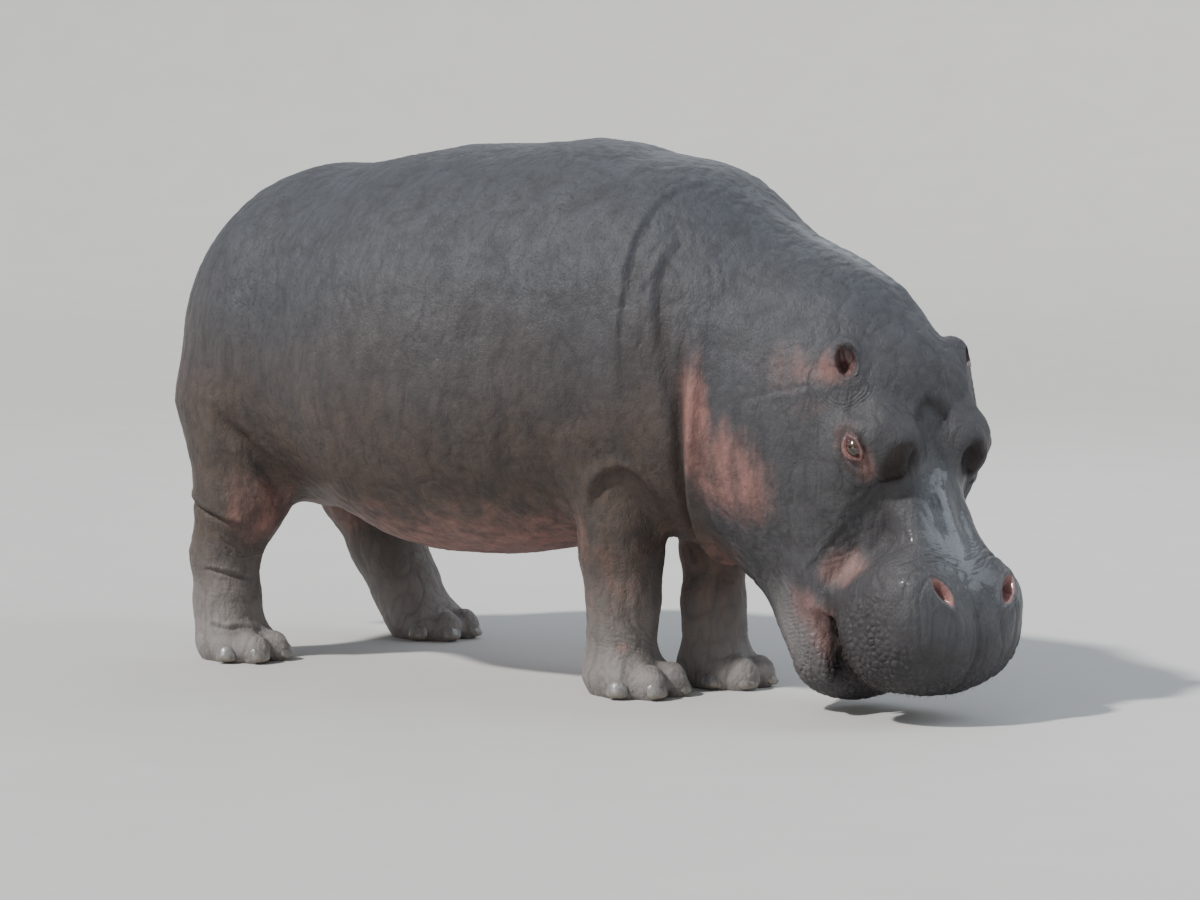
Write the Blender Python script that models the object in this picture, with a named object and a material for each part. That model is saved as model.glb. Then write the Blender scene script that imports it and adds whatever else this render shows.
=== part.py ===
"""A common hippopotamus, life size, standing with its head lowered as if to graze.

The animal is sculpted whole, as a smooth distance field built from lofts, ellipsoids and tapered
limbs. The field is meshed, thinned to a light shell and parted with thin straight cuts into head,
lower jaw, neck, trunk, tail, ears, legs and feet. Eyes, nails, tongue and lower teeth are pieces
of their own. Units are metres, +X is the animal's forward, +Y its left and +Z up.
"""

import math

import bmesh
import bpy
import numpy as np
from mathutils import Matrix

# ---------------------------------------------------------------- driving dimensions
# Sculpture space has its origin under the middle of the barrel. CENTRE moves the finished animal
# so that its bounding box is centred on the origin.
CENTRE = (0.292, 0.0)

BACK_TOP = 1.42
GRID = 0.020
SHELL_TRIANGLES = 2560
PARTING_GAP = 0.0006
SHORTEST_EDGE = 0.002
# Corners of the space that is meshed, and how far the cut under the soles reaches.
FIELD_LOW, FIELD_HIGH = (-1.20, -0.75, -0.12), (1.95, 0.75, 1.60)
FLOOR_REACH, FLOOR_DEPTH = 3.0, 1.0

# Head frame: its origin lies between the ears, and its first axis runs down the forehead.
HEAD_AT = (1.345, -0.062, 0.856)
HEAD_PITCH, HEAD_YAW, HEAD_ROLL = 62.6, -16.5, -4.0
NECK_AT = (0.55, 0.0, 0.95)
NECK_PITCH, NECK_YAW = 19.0, -1.0

# Loft rows: place along the axis, height of the top, of the widest line and of the bottom, half width.
TRUNK_ROWS = (
    (-0.50, 1.352, 0.857, 0.405, 0.478),
    (-0.10, BACK_TOP - 0.015, 0.80, 0.312, 0.57),
    (0.22, BACK_TOP - 0.005, 0.80, 0.33, 0.55),
    (0.45, BACK_TOP, 0.84, 0.39, 0.48),
    (0.66, 1.335, 0.86, 0.46, 0.42),
)
TRUNK_CAPS = (0.477, 0.30)
NECK_ROWS = (
    (0.00, 0.435, 0.00, -0.46, 0.42),
    (0.20, 0.405, 0.00, -0.47, 0.38),
    (0.42, 0.365, 0.00, -0.47, 0.345),
    (0.62, 0.295, -0.02, -0.42, 0.31),
    (0.78, 0.215, -0.05, -0.32, 0.27),
)
NECK_CAPS = (0.30, 0.16)
SKULL_ROWS = (
    (0.00, 0.066, -0.16, -0.40, 0.222),
    (0.12, 0.022, -0.17, -0.42, 0.210),
    (0.22, -0.004, -0.19, -0.40, 0.170),
    (0.32, 0.014, -0.17, -0.33, 0.112),
    (0.42, 0.018, -0.15, -0.28, 0.120),
    (0.50, 0.012, -0.13, -0.26, 0.158),
    (0.60, 0.000, -0.14, -0.265, 0.208),
    (0.67, -0.030, -0.15, -0.270, 0.210),
)
SKULL_CAPS = (0.32, 0.115)
JAW_ROWS = (
    (0.10, -0.25, -0.38, -0.560, 0.200),
    (0.30, -0.30, -0.41, -0.615, 0.188),
    (0.45, -0.322, -0.44, -0.590, 0.182),
    (0.58, -0.322, -0.44, -0.560, 0.184),
)
JAW_CAPS = (0.12, 0.115)

# Lumps of the left half of the head, mirrored: centre, radii and the softness of the join.
HEAD_LUMPS = (
    ((0.212, 0.116, 0.006), (0.072, 0.054, 0.068), 0.016),  # brow
    ((0.164, 0.158, 0.004), (0.070, 0.044, 0.052), 0.020),  # roof of the eye
    ((0.192, 0.150, -0.028), (0.056, 0.040, 0.046), 0.026),  # lids round the eyeball
    ((0.232, 0.146, -0.070), (0.058, 0.026, 0.024), 0.050),  # bag under the eye
    ((0.000, 0.140, -0.020), (0.060, 0.050, 0.055), 0.040),  # root of the ear
    ((0.604, 0.122, -0.176), (0.130, 0.102, 0.120), 0.040),  # upper lip
    ((0.590, 0.110, -0.022), (0.085, 0.075, 0.050), 0.050),  # nostril mound
    ((0.160, 0.120, -0.300), (0.240, 0.120, 0.200), 0.080),  # cheek
    ((0.540, 0.166, -0.386), (0.130, 0.030, 0.030), 0.060),  # lower lip
    ((0.390, 0.130, -0.325), (0.110, 0.075, 0.100), 0.060),  # corner of the mouth
)
# Capsules of the same half: both ends, both radii and the softness of the join.
HEAD_RODS = (
    ((0.250, 0.054, -0.030), (0.500, 0.088, -0.040), 0.032, 0.042, 0.030),  # edge of the snout
    ((0.330, 0.105, -0.200), (0.470, 0.150, -0.320), 0.070, 0.050, 0.060),  # corner of the mouth
)
# Hollows of the same half, taken out: centre, radii and softness.
HEAD_HOLLOWS = (
    ((0.095, 0.205, 0.034), (0.060, 0.060, 0.080), 0.060),  # temple between ear and brow
    ((0.318, 0.160, 0.010), (0.050, 0.066, 0.078), 0.034),  # under the brow
    ((0.150, 0.000, 0.078), (0.066, 0.050, 0.064), 0.060),  # between the brows
    ((0.272, 0.094, 0.058), (0.052, 0.034, 0.054), 0.030),  # inner foot of the brow
)
# A furrow between the snout's side and the cheek: both ends, both radii and softness.
CHEEK_FURROW = ((0.290, 0.166, -0.050), (0.440, 0.204, -0.205), 0.030, 0.026, 0.060)
# The muzzle: centre, radii, squareness and softness.
MUZZLE = ((0.602, 0.0, -0.148), (0.158, 0.219, 0.152), 3.0, 0.060)
HEAD_BLEND, JAW_BLEND = 0.16, 0.045
NECK_BLEND, TAIL_BLEND, LIMB_BLEND, FOOT_BLEND = 0.12, 0.03, 0.05, 0.04

MOUTH_PLANE = -0.312
MOUTH_SLOT = ((0.760, 0.0, MOUTH_PLANE - 0.006), (0.300, 0.292, 0.030))
MOUTH_HOLLOW = ((0.560, 0.0, MOUTH_PLANE - 0.008), (0.180, 0.120, 0.040))
LEFT_CORNER = ((0.575, 0.215, MOUTH_PLANE - 0.016), (0.078, 0.060, 0.032))
RIGHT_CORNER = ((0.575, -0.215, MOUTH_PLANE - 0.016), (0.078, 0.060, 0.032))
TONGUE_AT, TONGUE_SIZE = (0.520, 0.0, -0.332), (0.105, 0.070, 0.015)
GUM_AT, GUM_SIZE, GUM_GAP = (0.650, 0.0, -0.340), (0.018, 0.110, 0.012), 0.004
# A tooth's tip against its root, and how far up its length its middle stands over the gum.
TOOTH_TAPER, TOOTH_LIFT = 0.55, 0.32
# Each tooth: place to the left, lean forward in degrees, radius at the root and length.
TOOTH_ROWS = (
    (-0.078, 20.0, 0.011, 0.040),
    (-0.026, 35.0, 0.009, 0.045),
    (0.026, 35.0, 0.009, 0.045),
    (0.078, 20.0, 0.011, 0.040),
)

EYE_AT, EYE_RADIUS = (0.190, 0.200, -0.013), 0.030

EAR_AT = (-0.002, 0.172, 0.000)
EAR_TIP = (-0.82, 0.30, 0.48)
EAR_OPENING = (0.42, 0.60, 0.68)
EAR_LENGTH, EAR_WIDTH, EAR_THICKNESS = 0.086, 0.064, 0.040
EAR_REACH = 0.42 * EAR_LENGTH
EAR_SCOOP, EAR_SCOOP_WIDTH = 1.25, 0.80

TAIL_PATH = (
    ((-0.922, 0.0, 1.080), 0.060),
    ((-1.007, 0.0, 0.960), 0.046),
    ((-1.042, 0.0, 0.800), 0.034),
    ((-1.047, 0.0, 0.660), 0.024),
)
TAIL_CUT = -0.984

# Feet on the ground, and the joints of each leg from the body down: place and radius.
FEET = {
    "fore_right": (0.590, -0.212),
    "fore_left": (0.680, 0.075),
    "hind_right": (-0.675, -0.320),
    "hind_left": (-0.570, 0.365),
}
LEG_RINGS = {
    "fore_right": (
        ((0.570, -0.240, 0.680), 0.160),
        ((0.594, -0.225, 0.460), 0.101),
        ((0.588, -0.212, 0.360), 0.093),
        ((0.594, -0.212, 0.240), 0.081),
        ((0.588, -0.212, 0.140), 0.076),
        ((0.590, -0.212, 0.060), 0.085),
    ),
    "fore_left": (
        ((0.600, 0.220, 0.680), 0.160),
        ((0.660, 0.135, 0.460), 0.086),
        ((0.666, 0.085, 0.360), 0.077),
        ((0.674, 0.075, 0.220), 0.072),
        ((0.680, 0.075, 0.130), 0.068),
        ((0.680, 0.075, 0.060), 0.078),
    ),
    "hind_right": (
        ((-0.660, -0.260, 0.680), 0.205),
        ((-0.660, -0.305, 0.440), 0.116),
        ((-0.708, -0.320, 0.290), 0.084),
        ((-0.696, -0.320, 0.150), 0.082),
        ((-0.680, -0.320, 0.060), 0.090),
    ),
    "hind_left": (
        ((-0.680, 0.260, 0.680), 0.205),
        ((-0.770, 0.330, 0.420), 0.116),
        ((-0.705, 0.360, 0.250), 0.096),
        ((-0.635, 0.365, 0.140), 0.088),
        ((-0.590, 0.365, 0.060), 0.090),
    ),
}
LEG_BLEND = {"fore_right": 0.05, "fore_left": 0.05, "hind_right": 0.08, "hind_left": 0.08}
FOOT_SCALE = {"fore_right": 1.0, "fore_left": 0.9, "hind_right": 0.92, "hind_left": 0.92}
ANKLE_HEIGHT = 0.125
PAD_RADII, PAD_HEIGHT = (0.104, 0.104, 0.080), 0.05
TOE_ANGLES = (-62.0, -22.0, 20.0, 60.0)
TOE_REACH = (0.086, 0.116, 0.116, 0.086)
SIDE_TOE, MIDDLE_TOE = (0.052, 0.040, 0.050), (0.056, 0.043, 0.053)
TOE_RADII = (SIDE_TOE, MIDDLE_TOE, MIDDLE_TOE, SIDE_TOE)
TOE_HEIGHT, TOE_FORWARD = 0.034, 0.012
TOE_BLEND = 0.026
NAIL_RADII = (0.018, 0.029, 0.024)
# Nails: place along the toe as a share of its length, height above its middle and lean in degrees.
NAIL_SHARE, NAIL_RISE, NAIL_LEAN = 0.80, -0.006, 18.0

SLATE = (0.055, 0.058, 0.062, 1.0)
NAIL_COLOUR = (0.16, 0.15, 0.13, 1.0)
EYE_COLOUR = (0.03, 0.018, 0.012, 1.0)
TONGUE_COLOUR = (0.42, 0.15, 0.14, 1.0)
TOOTH_COLOUR = (0.62, 0.52, 0.34, 1.0)


# ---------------------------------------------------------------- frames
def pitched_frame(pitch, yaw, roll=0.0):
    """Columns forward, left and up of a frame that points down by pitch and left by yaw."""
    p, y, r = (math.radians(angle) for angle in (pitch, yaw, roll))
    forward = np.array([math.cos(p) * math.cos(y), math.cos(p) * math.sin(y), -math.sin(p)])
    up = np.array([math.sin(p) * math.cos(y), math.sin(p) * math.sin(y), math.cos(p)])
    left = np.cross(up, forward)
    rolled_left = math.cos(r) * left + math.sin(r) * up
    rolled_up = -math.sin(r) * left + math.cos(r) * up
    return np.stack([forward, rolled_left, rolled_up], axis=1)


HEAD = pitched_frame(HEAD_PITCH, HEAD_YAW, HEAD_ROLL)
NECK = pitched_frame(NECK_PITCH, NECK_YAW)


def ear_frame():
    """Columns tip, width and opening of the left ear in the head frame."""
    tip = np.array(EAR_TIP) / np.linalg.norm(EAR_TIP)
    opening = np.array(EAR_OPENING) - tip * np.dot(EAR_OPENING, tip)
    opening /= np.linalg.norm(opening)
    return np.stack([tip, np.cross(opening, tip), opening], axis=1)


EAR = ear_frame()


# ---------------------------------------------------------------- field shapes
def ellipsoid(points, centre, radii):
    q = points - np.asarray(centre)
    radii = np.asarray(radii)
    size = np.linalg.norm(q / radii, axis=-1)
    slope = np.linalg.norm(q / radii**2, axis=-1)
    return size * (size - 1.0) / np.maximum(slope, 1e-9)


def block(points, centre, radii, power):
    """An ellipsoid with squarer shoulders the higher its power is."""
    q = np.abs(points - np.asarray(centre)) / np.asarray(radii)
    size = np.maximum((q**power).sum(axis=-1) ** (1.0 / power), 1e-6)
    slope = np.linalg.norm((q / size[..., None]) ** (power - 1.0) / np.asarray(radii), axis=-1)
    return (size - 1.0) / np.maximum(slope, 1e-6)


def tapered(points, start, end, start_radius, end_radius):
    start, end = np.asarray(start), np.asarray(end)
    run = end - start
    share = np.clip((points - start) @ run / (run @ run), 0.0, 1.0)
    reach = np.linalg.norm(points - start - share[..., None] * run, axis=-1)
    return reach - (start_radius + (end_radius - start_radius) * share)


def join(a, b, soft):
    """Union of two fields, with a fillet about as wide as soft."""
    near = np.maximum(soft - np.abs(a - b), 0.0) / soft
    return np.minimum(a, b) - near * near * soft * 0.25


def carve(a, b, soft):
    """Field a with field b taken out, rounded by soft."""
    return -join(-a, b, soft)


def smooth_rows(rows, count=96):
    """Samples of a smooth curve through the rows, by cubic Hermite pieces, level where the caps begin."""
    rows = np.array(rows)
    knots, values = rows[:, 0], rows[:, 1:]
    slopes = np.gradient(values, knots, axis=0)
    slopes[0] = slopes[-1] = 0.0
    places = np.linspace(knots[0], knots[-1], count)
    i = np.clip(np.searchsorted(knots, places, side="right") - 1, 0, len(knots) - 2)
    gap = (knots[i + 1] - knots[i])[:, None]
    t = ((places - knots[i]) / (knots[i + 1] - knots[i]))[:, None]
    start = (2 * t**3 - 3 * t**2 + 1) * values[i] + (t**3 - 2 * t**2 + t) * gap * slopes[i]
    end = (3 * t**2 - 2 * t**3) * values[i + 1] + (t**3 - t**2) * gap * slopes[i + 1]
    return places, start + end


def loft(points, rows, caps):
    """A body whose egg-shaped sections follow the rows, closed by half ellipsoids."""
    places, values = smooth_rows(rows)
    along = np.clip(points[..., 0], places[0], places[-1])
    top, middle, bottom, half_width = (np.interp(along, places, values[:, i]) for i in range(4))
    beyond = points[..., 0] - along
    cap = np.where(beyond < 0.0, caps[0], caps[1])
    rise = points[..., 2] - middle
    half_height = np.where(rise > 0.0, top - middle, middle - bottom)
    size = np.sqrt((beyond / cap) ** 2 + (points[..., 1] / half_width) ** 2 + (rise / half_height) ** 2)
    slope = np.sqrt(
        (beyond / cap**2) ** 2 + (points[..., 1] / half_width**2) ** 2 + (rise / half_height**2) ** 2
    )
    return size * (size - 1.0) / np.maximum(slope, 1e-9)


def limb(points, rings):
    field = None
    for (start, start_radius), (end, end_radius) in zip(rings[:-1], rings[1:]):
        length = tapered(points, start, end, start_radius, end_radius)
        field = length if field is None else join(field, length, LIMB_BLEND)
    return field


# ---------------------------------------------------------------- the animal
def toes(leg):
    """Angle, centre and radii of each toe, from the right one to the left one."""
    x, y = FEET[leg]
    scale = FOOT_SCALE[leg]
    for angle, reach, radii in zip(TOE_ANGLES, TOE_REACH, TOE_RADII):
        turn = math.radians(angle)
        ahead = TOE_FORWARD + reach * math.cos(turn)
        centre = (x + scale * ahead, y + scale * reach * math.sin(turn), TOE_HEIGHT)
        yield angle, centre, tuple(scale * radius for radius in radii)


def foot_field(points, leg):
    x, y = FEET[leg]
    field = ellipsoid(points, (x, y, PAD_HEIGHT), tuple(FOOT_SCALE[leg] * radius for radius in PAD_RADII))
    for _, centre, radii in toes(leg):
        field = join(field, ellipsoid(points, centre, radii), TOE_BLEND)
    return field


def leg_field(points, leg):
    return join(limb(points, LEG_RINGS[leg]), foot_field(points, leg), FOOT_BLEND)


def head_field(points):
    q = (points - np.array(HEAD_AT)) @ HEAD
    q = np.stack([q[..., 0], np.abs(q[..., 1]), q[..., 2]], axis=-1)
    field = loft(q, SKULL_ROWS, SKULL_CAPS)
    for centre, radii, soft in HEAD_LUMPS:
        field = join(field, ellipsoid(q, centre, radii), soft)
    for start, end, start_radius, end_radius, soft in HEAD_RODS:
        field = join(field, tapered(q, start, end, start_radius, end_radius), soft)
    for centre, radii, soft in HEAD_HOLLOWS:
        field = carve(field, ellipsoid(q, centre, radii), soft)
    start, end, start_radius, end_radius, soft = CHEEK_FURROW
    field = carve(field, tapered(q, start, end, start_radius, end_radius), soft)
    centre, radii, power, soft = MUZZLE
    field = join(field, block(q, centre, radii, power), soft)
    return join(field, loft(q, JAW_ROWS, JAW_CAPS), JAW_BLEND)


def body_field(points):
    field = loft(points, TRUNK_ROWS, TRUNK_CAPS)
    field = join(field, loft((points - np.array(NECK_AT)) @ NECK, NECK_ROWS, NECK_CAPS), NECK_BLEND)
    field = join(field, head_field(points), HEAD_BLEND)
    field = join(field, limb(points, TAIL_PATH), TAIL_BLEND)
    legs = [join(field, leg_field(points, leg), LEG_BLEND[leg]) for leg in FEET]
    return np.minimum.reduce(legs)


# ---------------------------------------------------------------- meshing
def sample_field(field, low, high, grid):
    counts = np.ceil((np.array(high) - np.array(low)) / grid).astype(int) + 1
    axes = [low[i] + grid * np.arange(counts[i]) for i in range(3)]
    values = np.empty(counts)
    for i in range(0, counts[0], 8):
        slab = np.stack(np.meshgrid(axes[0][i : i + 8], axes[1], axes[2], indexing="ij"), axis=-1)
        values[i : i + 8] = field(slab)
    return values


def surface_nets(values, low, grid):
    """One point in each cell that the surface crosses, and one quad for each grid edge that it crosses."""
    inside = values < 0.0
    shape = np.array(inside.shape) - 1
    corners = [(i, j, k) for i in (0, 1) for j in (0, 1) for k in (0, 1)]
    count = sum(
        inside[i : i + shape[0], j : j + shape[1], k : k + shape[2]].astype(int) for i, j, k in corners
    )
    cells = np.argwhere((count > 0) & (count < 8))
    index = np.full(shape, -1)
    index[tuple(cells.T)] = np.arange(len(cells))
    total, crossings = np.zeros((len(cells), 3)), np.zeros(len(cells))
    for corner in corners:
        for axis in range(3):
            if corner[axis]:
                continue
            step = np.eye(3, dtype=int)[axis]
            first = values[tuple((cells + corner).T)]
            second = values[tuple((cells + corner + step).T)]
            crossed = (first < 0.0) != (second < 0.0)
            share = np.where(crossed, first / np.where(crossed, first - second, 1.0), 0.0)
            total += (np.array(corner) + share[:, None] * step) * crossed[:, None]
            crossings += crossed
    points = np.array(low) + grid * (cells + total / crossings[:, None])
    quads = []
    for axis in range(3):
        step = np.eye(3, dtype=int)[axis]
        ahead = inside[step[0] :, step[1] :, step[2] :]
        behind = inside[: inside.shape[0] - step[0], : inside.shape[1] - step[1], : inside.shape[2] - step[2]]
        edges = np.argwhere(ahead != behind)
        u, v = (other for other in range(3) if other != axis)
        kept = (edges[:, u] > 0) & (edges[:, v] > 0) & (edges[:, u] < shape[u]) & (edges[:, v] < shape[v])
        edges = edges[kept]
        quad = np.empty((len(edges), 4), int)
        for place, (back_u, back_v) in enumerate(((1, 1), (0, 1), (0, 0), (1, 0))):
            cell = edges.copy()
            cell[:, u] -= back_u
            cell[:, v] -= back_v
            quad[:, place] = index[tuple(cell.T)]
        outward = behind[tuple(edges.T)] if axis != 1 else ~behind[tuple(edges.T)]
        quad[~outward] = quad[~outward][:, ::-1]
        quads.append(quad)
    return points, np.concatenate(quads)


# ---------------------------------------------------------------- objects
def clear_scene():
    for obj in list(bpy.data.objects):
        bpy.data.objects.remove(obj, do_unlink=True)


def material(name, colour, roughness):
    made = bpy.data.materials.new(name)
    made.use_nodes = True
    shader = made.node_tree.nodes["Principled BSDF"]
    shader.inputs["Base Color"].default_value = colour
    shader.inputs["Roughness"].default_value = roughness
    return made


def add_object(name, mesh):
    obj = bpy.data.objects.new(name, mesh)
    bpy.context.collection.objects.link(obj)
    return obj


def mesh_object(name, points, faces):
    mesh = bpy.data.meshes.new(name)
    mesh.from_pydata([tuple(point) for point in points], [], [tuple(face) for face in faces])
    mesh.validate()
    return add_object(name, mesh)


def bake_modifiers(obj):
    graph = bpy.context.evaluated_depsgraph_get()
    mesh = bpy.data.meshes.new_from_object(obj.evaluated_get(graph), depsgraph=graph)
    obj.modifiers.clear()
    obj.data = mesh


def thin_out(obj, triangles):
    modifier = obj.modifiers.new("thin", "DECIMATE")
    modifier.use_collapse_triangulate = True
    modifier.ratio = triangles / sum(len(face.vertices) - 2 for face in obj.data.polygons)
    bake_modifiers(obj)
    bm = bmesh.new()
    bm.from_mesh(obj.data)
    bmesh.ops.dissolve_degenerate(bm, edges=bm.edges, dist=SHORTEST_EDGE)
    bmesh.ops.triangulate(bm, faces=bm.faces)
    bm.to_mesh(obj.data)
    bm.free()


def boolean(obj, cutter, operation):
    modifier = obj.modifiers.new(operation.lower(), "BOOLEAN")
    modifier.operation = operation
    modifier.solver = "EXACT"
    modifier.object = cutter
    bake_modifiers(obj)


def box_object(name, matrix, low, high, slopes=(0.0, 0.0), grow=0.0):
    """A box in the given frame, grown on every side, whose top can slope about its middle."""
    bm = bmesh.new()
    bmesh.ops.create_cube(bm, size=1.0)
    low = np.array(low) - grow
    high = np.array(high) + grow
    middle = (low + high) / 2.0
    for vertex in bm.verts:
        vertex.co = [low[i] + (vertex.co[i] + 0.5) * (high[i] - low[i]) for i in range(3)]
        if vertex.co.z > middle[2]:
            vertex.co.z += slopes[0] * (vertex.co.x - middle[0]) + slopes[1] * (vertex.co.y - middle[1])
    bm.transform(matrix)
    bmesh.ops.recalc_face_normals(bm, faces=bm.faces)
    mesh = bpy.data.meshes.new(name)
    bm.to_mesh(mesh)
    bm.free()
    cutter = add_object(name, mesh)
    cutter.hide_render = True
    cutter.display_type = "WIRE"
    return cutter


def frame_matrix(axes, at):
    matrix = Matrix.Identity(4)
    for row in range(3):
        for column in range(3):
            matrix[row][column] = axes[row][column]
        matrix[row][3] = at[row]
    return matrix


HEAD_MATRIX = frame_matrix(HEAD, HEAD_AT)
NECK_MATRIX = frame_matrix(NECK, NECK_AT)


def ear_matrix(side):
    """Frame of an ear. The right one mirrors the left."""
    mirror = np.diag([1.0, side, 1.0])
    axes = HEAD @ mirror @ EAR
    at = np.array(HEAD_AT) + HEAD @ mirror @ np.array(EAR_AT)
    return frame_matrix(axes, at)


# Name, the piece that it is parted from, frame of the cut, its lowest and highest corner there, and
# how much its top rises for each metre forward and each metre left.
WORLD = Matrix.Identity(4)
LEVEL = (0.0, 0.0)
REGIONS = (
    ("right_forefoot", "trunk", WORLD, (0.38, -0.60, -0.20), (0.90, -0.07, ANKLE_HEIGHT), LEVEL),
    ("left_forefoot", "trunk", WORLD, (0.38, -0.065, -0.20), (0.90, 0.60, ANKLE_HEIGHT), LEVEL),
    ("right_hind_foot", "trunk", WORLD, (-1.20, -0.80, -0.20), (-0.30, 0.02, ANKLE_HEIGHT), LEVEL),
    ("left_hind_foot", "trunk", WORLD, (-1.20, 0.05, -0.20), (-0.20, 0.80, ANKLE_HEIGHT), LEVEL),
    ("tail", "trunk", WORLD, (-1.30, -0.07, 0.45), (TAIL_CUT, 0.07, 1.03), LEVEL),
    ("right_foreleg", "trunk", WORLD, (0.43, -0.60, -0.10), (0.73, -0.10, 0.47), (0.0, -0.25)),
    ("left_foreleg", "trunk", WORLD, (0.50, -0.05, -0.10), (0.77, 0.60, 0.45), (0.0, 0.25)),
    ("right_hind_leg", "trunk", WORLD, (-1.10, -0.70, -0.10), (-0.46, -0.15, 0.50), (-0.35, -0.30)),
    ("left_hind_leg", "trunk", WORLD, (-1.10, 0.17, -0.10), (-0.36, 0.70, 0.48), (-0.35, 0.30)),
    ("head", "trunk", HEAD_MATRIX, (-0.11, -0.50, -0.65), (1.00, 0.50, 0.40), LEVEL),
    ("lower_jaw", "head", HEAD_MATRIX, (-0.20, -0.60, -0.80), (1.10, 0.60, MOUTH_PLANE), LEVEL),
    ("neck", "trunk", NECK_MATRIX, (0.10, -0.80, -0.90), (1.60, 0.80, 0.90), LEVEL),
)


def part_body(body):
    """Cuts each region's piece out of the piece that holds it."""
    pieces = {"trunk": body}
    for name, source, matrix, low, high, slopes in REGIONS:
        piece = add_object(name, pieces[source].data.copy())
        tight = box_object("cut", matrix, low, high, slopes)
        boolean(piece, tight, "INTERSECT")
        bpy.data.objects.remove(tight)
        wide = box_object("cut", matrix, low, high, slopes, PARTING_GAP)
        boolean(pieces[source], wide, "DIFFERENCE")
        bpy.data.objects.remove(wide)
        pieces[name] = piece
    return pieces


def ball(name, matrix, radii, grow=0.0, segments=14, rings=8):
    bm = bmesh.new()
    bmesh.ops.create_uvsphere(bm, u_segments=segments, v_segments=rings, radius=1.0)
    for vertex in bm.verts:
        vertex.co = [vertex.co[i] * (radii[i] + grow) for i in range(3)]
    bm.transform(matrix)
    mesh = bpy.data.meshes.new(name)
    bm.to_mesh(mesh)
    bm.free()
    return add_object(name, mesh)


def seat(piece, host, maker):
    """Takes room for the piece, with a thin gap, out of the solid that holds it."""
    room = maker("room", PARTING_GAP)
    boolean(host, room, "DIFFERENCE")
    bpy.data.objects.remove(room)
    return piece


def add_ear(side, head):
    """A cupped ear whose root sits in the head."""

    def ear(name, grow):
        radii = (EAR_LENGTH / 2.0, EAR_WIDTH / 2.0, EAR_THICKNESS / 2.0)
        cup = ball(name, Matrix.Identity(4), radii, grow, segments=16, rings=9)
        for vertex in cup.data.vertices:
            reach = math.hypot(vertex.co.x / radii[0], vertex.co.y / radii[1])
            if vertex.co.z > 0.0:
                vertex.co.z -= EAR_SCOOP * radii[2] * max(0.0, 1.0 - (reach / EAR_SCOOP_WIDTH) ** 2)
        cup.data.transform(ear_matrix(side) @ Matrix.Translation((EAR_REACH, 0.0, 0.0)))
        if side < 0.0:
            cup.data.flip_normals()
        return cup

    return seat(ear("left_ear" if side > 0 else "right_ear", 0.0), head, ear)


def open_mouth(*pieces):
    """Cuts the slot between the lips, the hollow behind it and its corners out of the head and the jaw."""
    for centre, radii in (MOUTH_SLOT, MOUTH_HOLLOW, LEFT_CORNER, RIGHT_CORNER):
        cutter = ball("mouth", HEAD_MATRIX @ Matrix.Translation(centre), radii, segments=16, rings=9)
        for piece in pieces:
            boolean(piece, cutter, "DIFFERENCE")
        bpy.data.objects.remove(cutter)


def add_eye(side, head):
    at = HEAD_MATRIX @ Matrix.Translation((EYE_AT[0], EYE_AT[1] * side, EYE_AT[2]))

    def eyeball(name, grow):
        return ball(name, at, (EYE_RADIUS,) * 3, grow, segments=12, rings=8)

    return seat(eyeball("left_eye" if side > 0 else "right_eye", 0.0), head, eyeball)


def add_nails(leg, foot, prefix):
    nails = []
    for number, (angle, centre, radii) in enumerate(toes(leg), start=1):
        turn = Matrix.Rotation(math.radians(angle), 4, "Z")
        front = Matrix.Translation((radii[0] * NAIL_SHARE, 0.0, NAIL_RISE))
        lean = Matrix.Rotation(math.radians(NAIL_LEAN), 4, "Y")
        at = Matrix.Translation(centre) @ turn @ front @ lean.inverted()

        def nail(name, grow, at=at):
            return ball(name, at, NAIL_RADII, grow, segments=8, rings=6)

        nails.append(seat(nail(f"{prefix}_nail_{number}", 0.0), foot, nail))
    return nails


def add_tongue():
    at = HEAD_MATRIX @ Matrix.Translation(TONGUE_AT)
    return ball("tongue", at, TONGUE_SIZE, segments=14, rings=8)


def add_teeth(jaw):
    """The lower front teeth, four pegs that rise from one bar of gum, which lies in the jaw."""
    at = HEAD_MATRIX @ Matrix.Translation(GUM_AT)
    room = ball("room", at, GUM_SIZE, GUM_GAP, segments=12, rings=6)
    boolean(jaw, room, "DIFFERENCE")
    bpy.data.objects.remove(room)
    gum = ball("lower_teeth", at, GUM_SIZE, segments=12, rings=6)
    for left, lean, radius, length in TOOTH_ROWS:
        bm = bmesh.new()
        bmesh.ops.create_cone(
            bm, cap_ends=True, segments=6, radius1=radius, radius2=radius * TOOTH_TAPER, depth=length
        )
        peg = Matrix.Rotation(math.radians(lean), 4, "Y")
        peg = Matrix.Translation((0.0, left, length * TOOTH_LIFT)) @ peg
        bm.transform(at @ peg)
        mesh = bpy.data.meshes.new("tooth")
        bm.to_mesh(mesh)
        bm.free()
        tooth = add_object("tooth", mesh)
        boolean(gum, tooth, "UNION")
        bpy.data.objects.remove(tooth)
    return gum


def shift_to_centre(objects):
    for obj in objects:
        obj.data.transform(Matrix.Translation((-CENTRE[0], -CENTRE[1], 0.0)))


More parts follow.
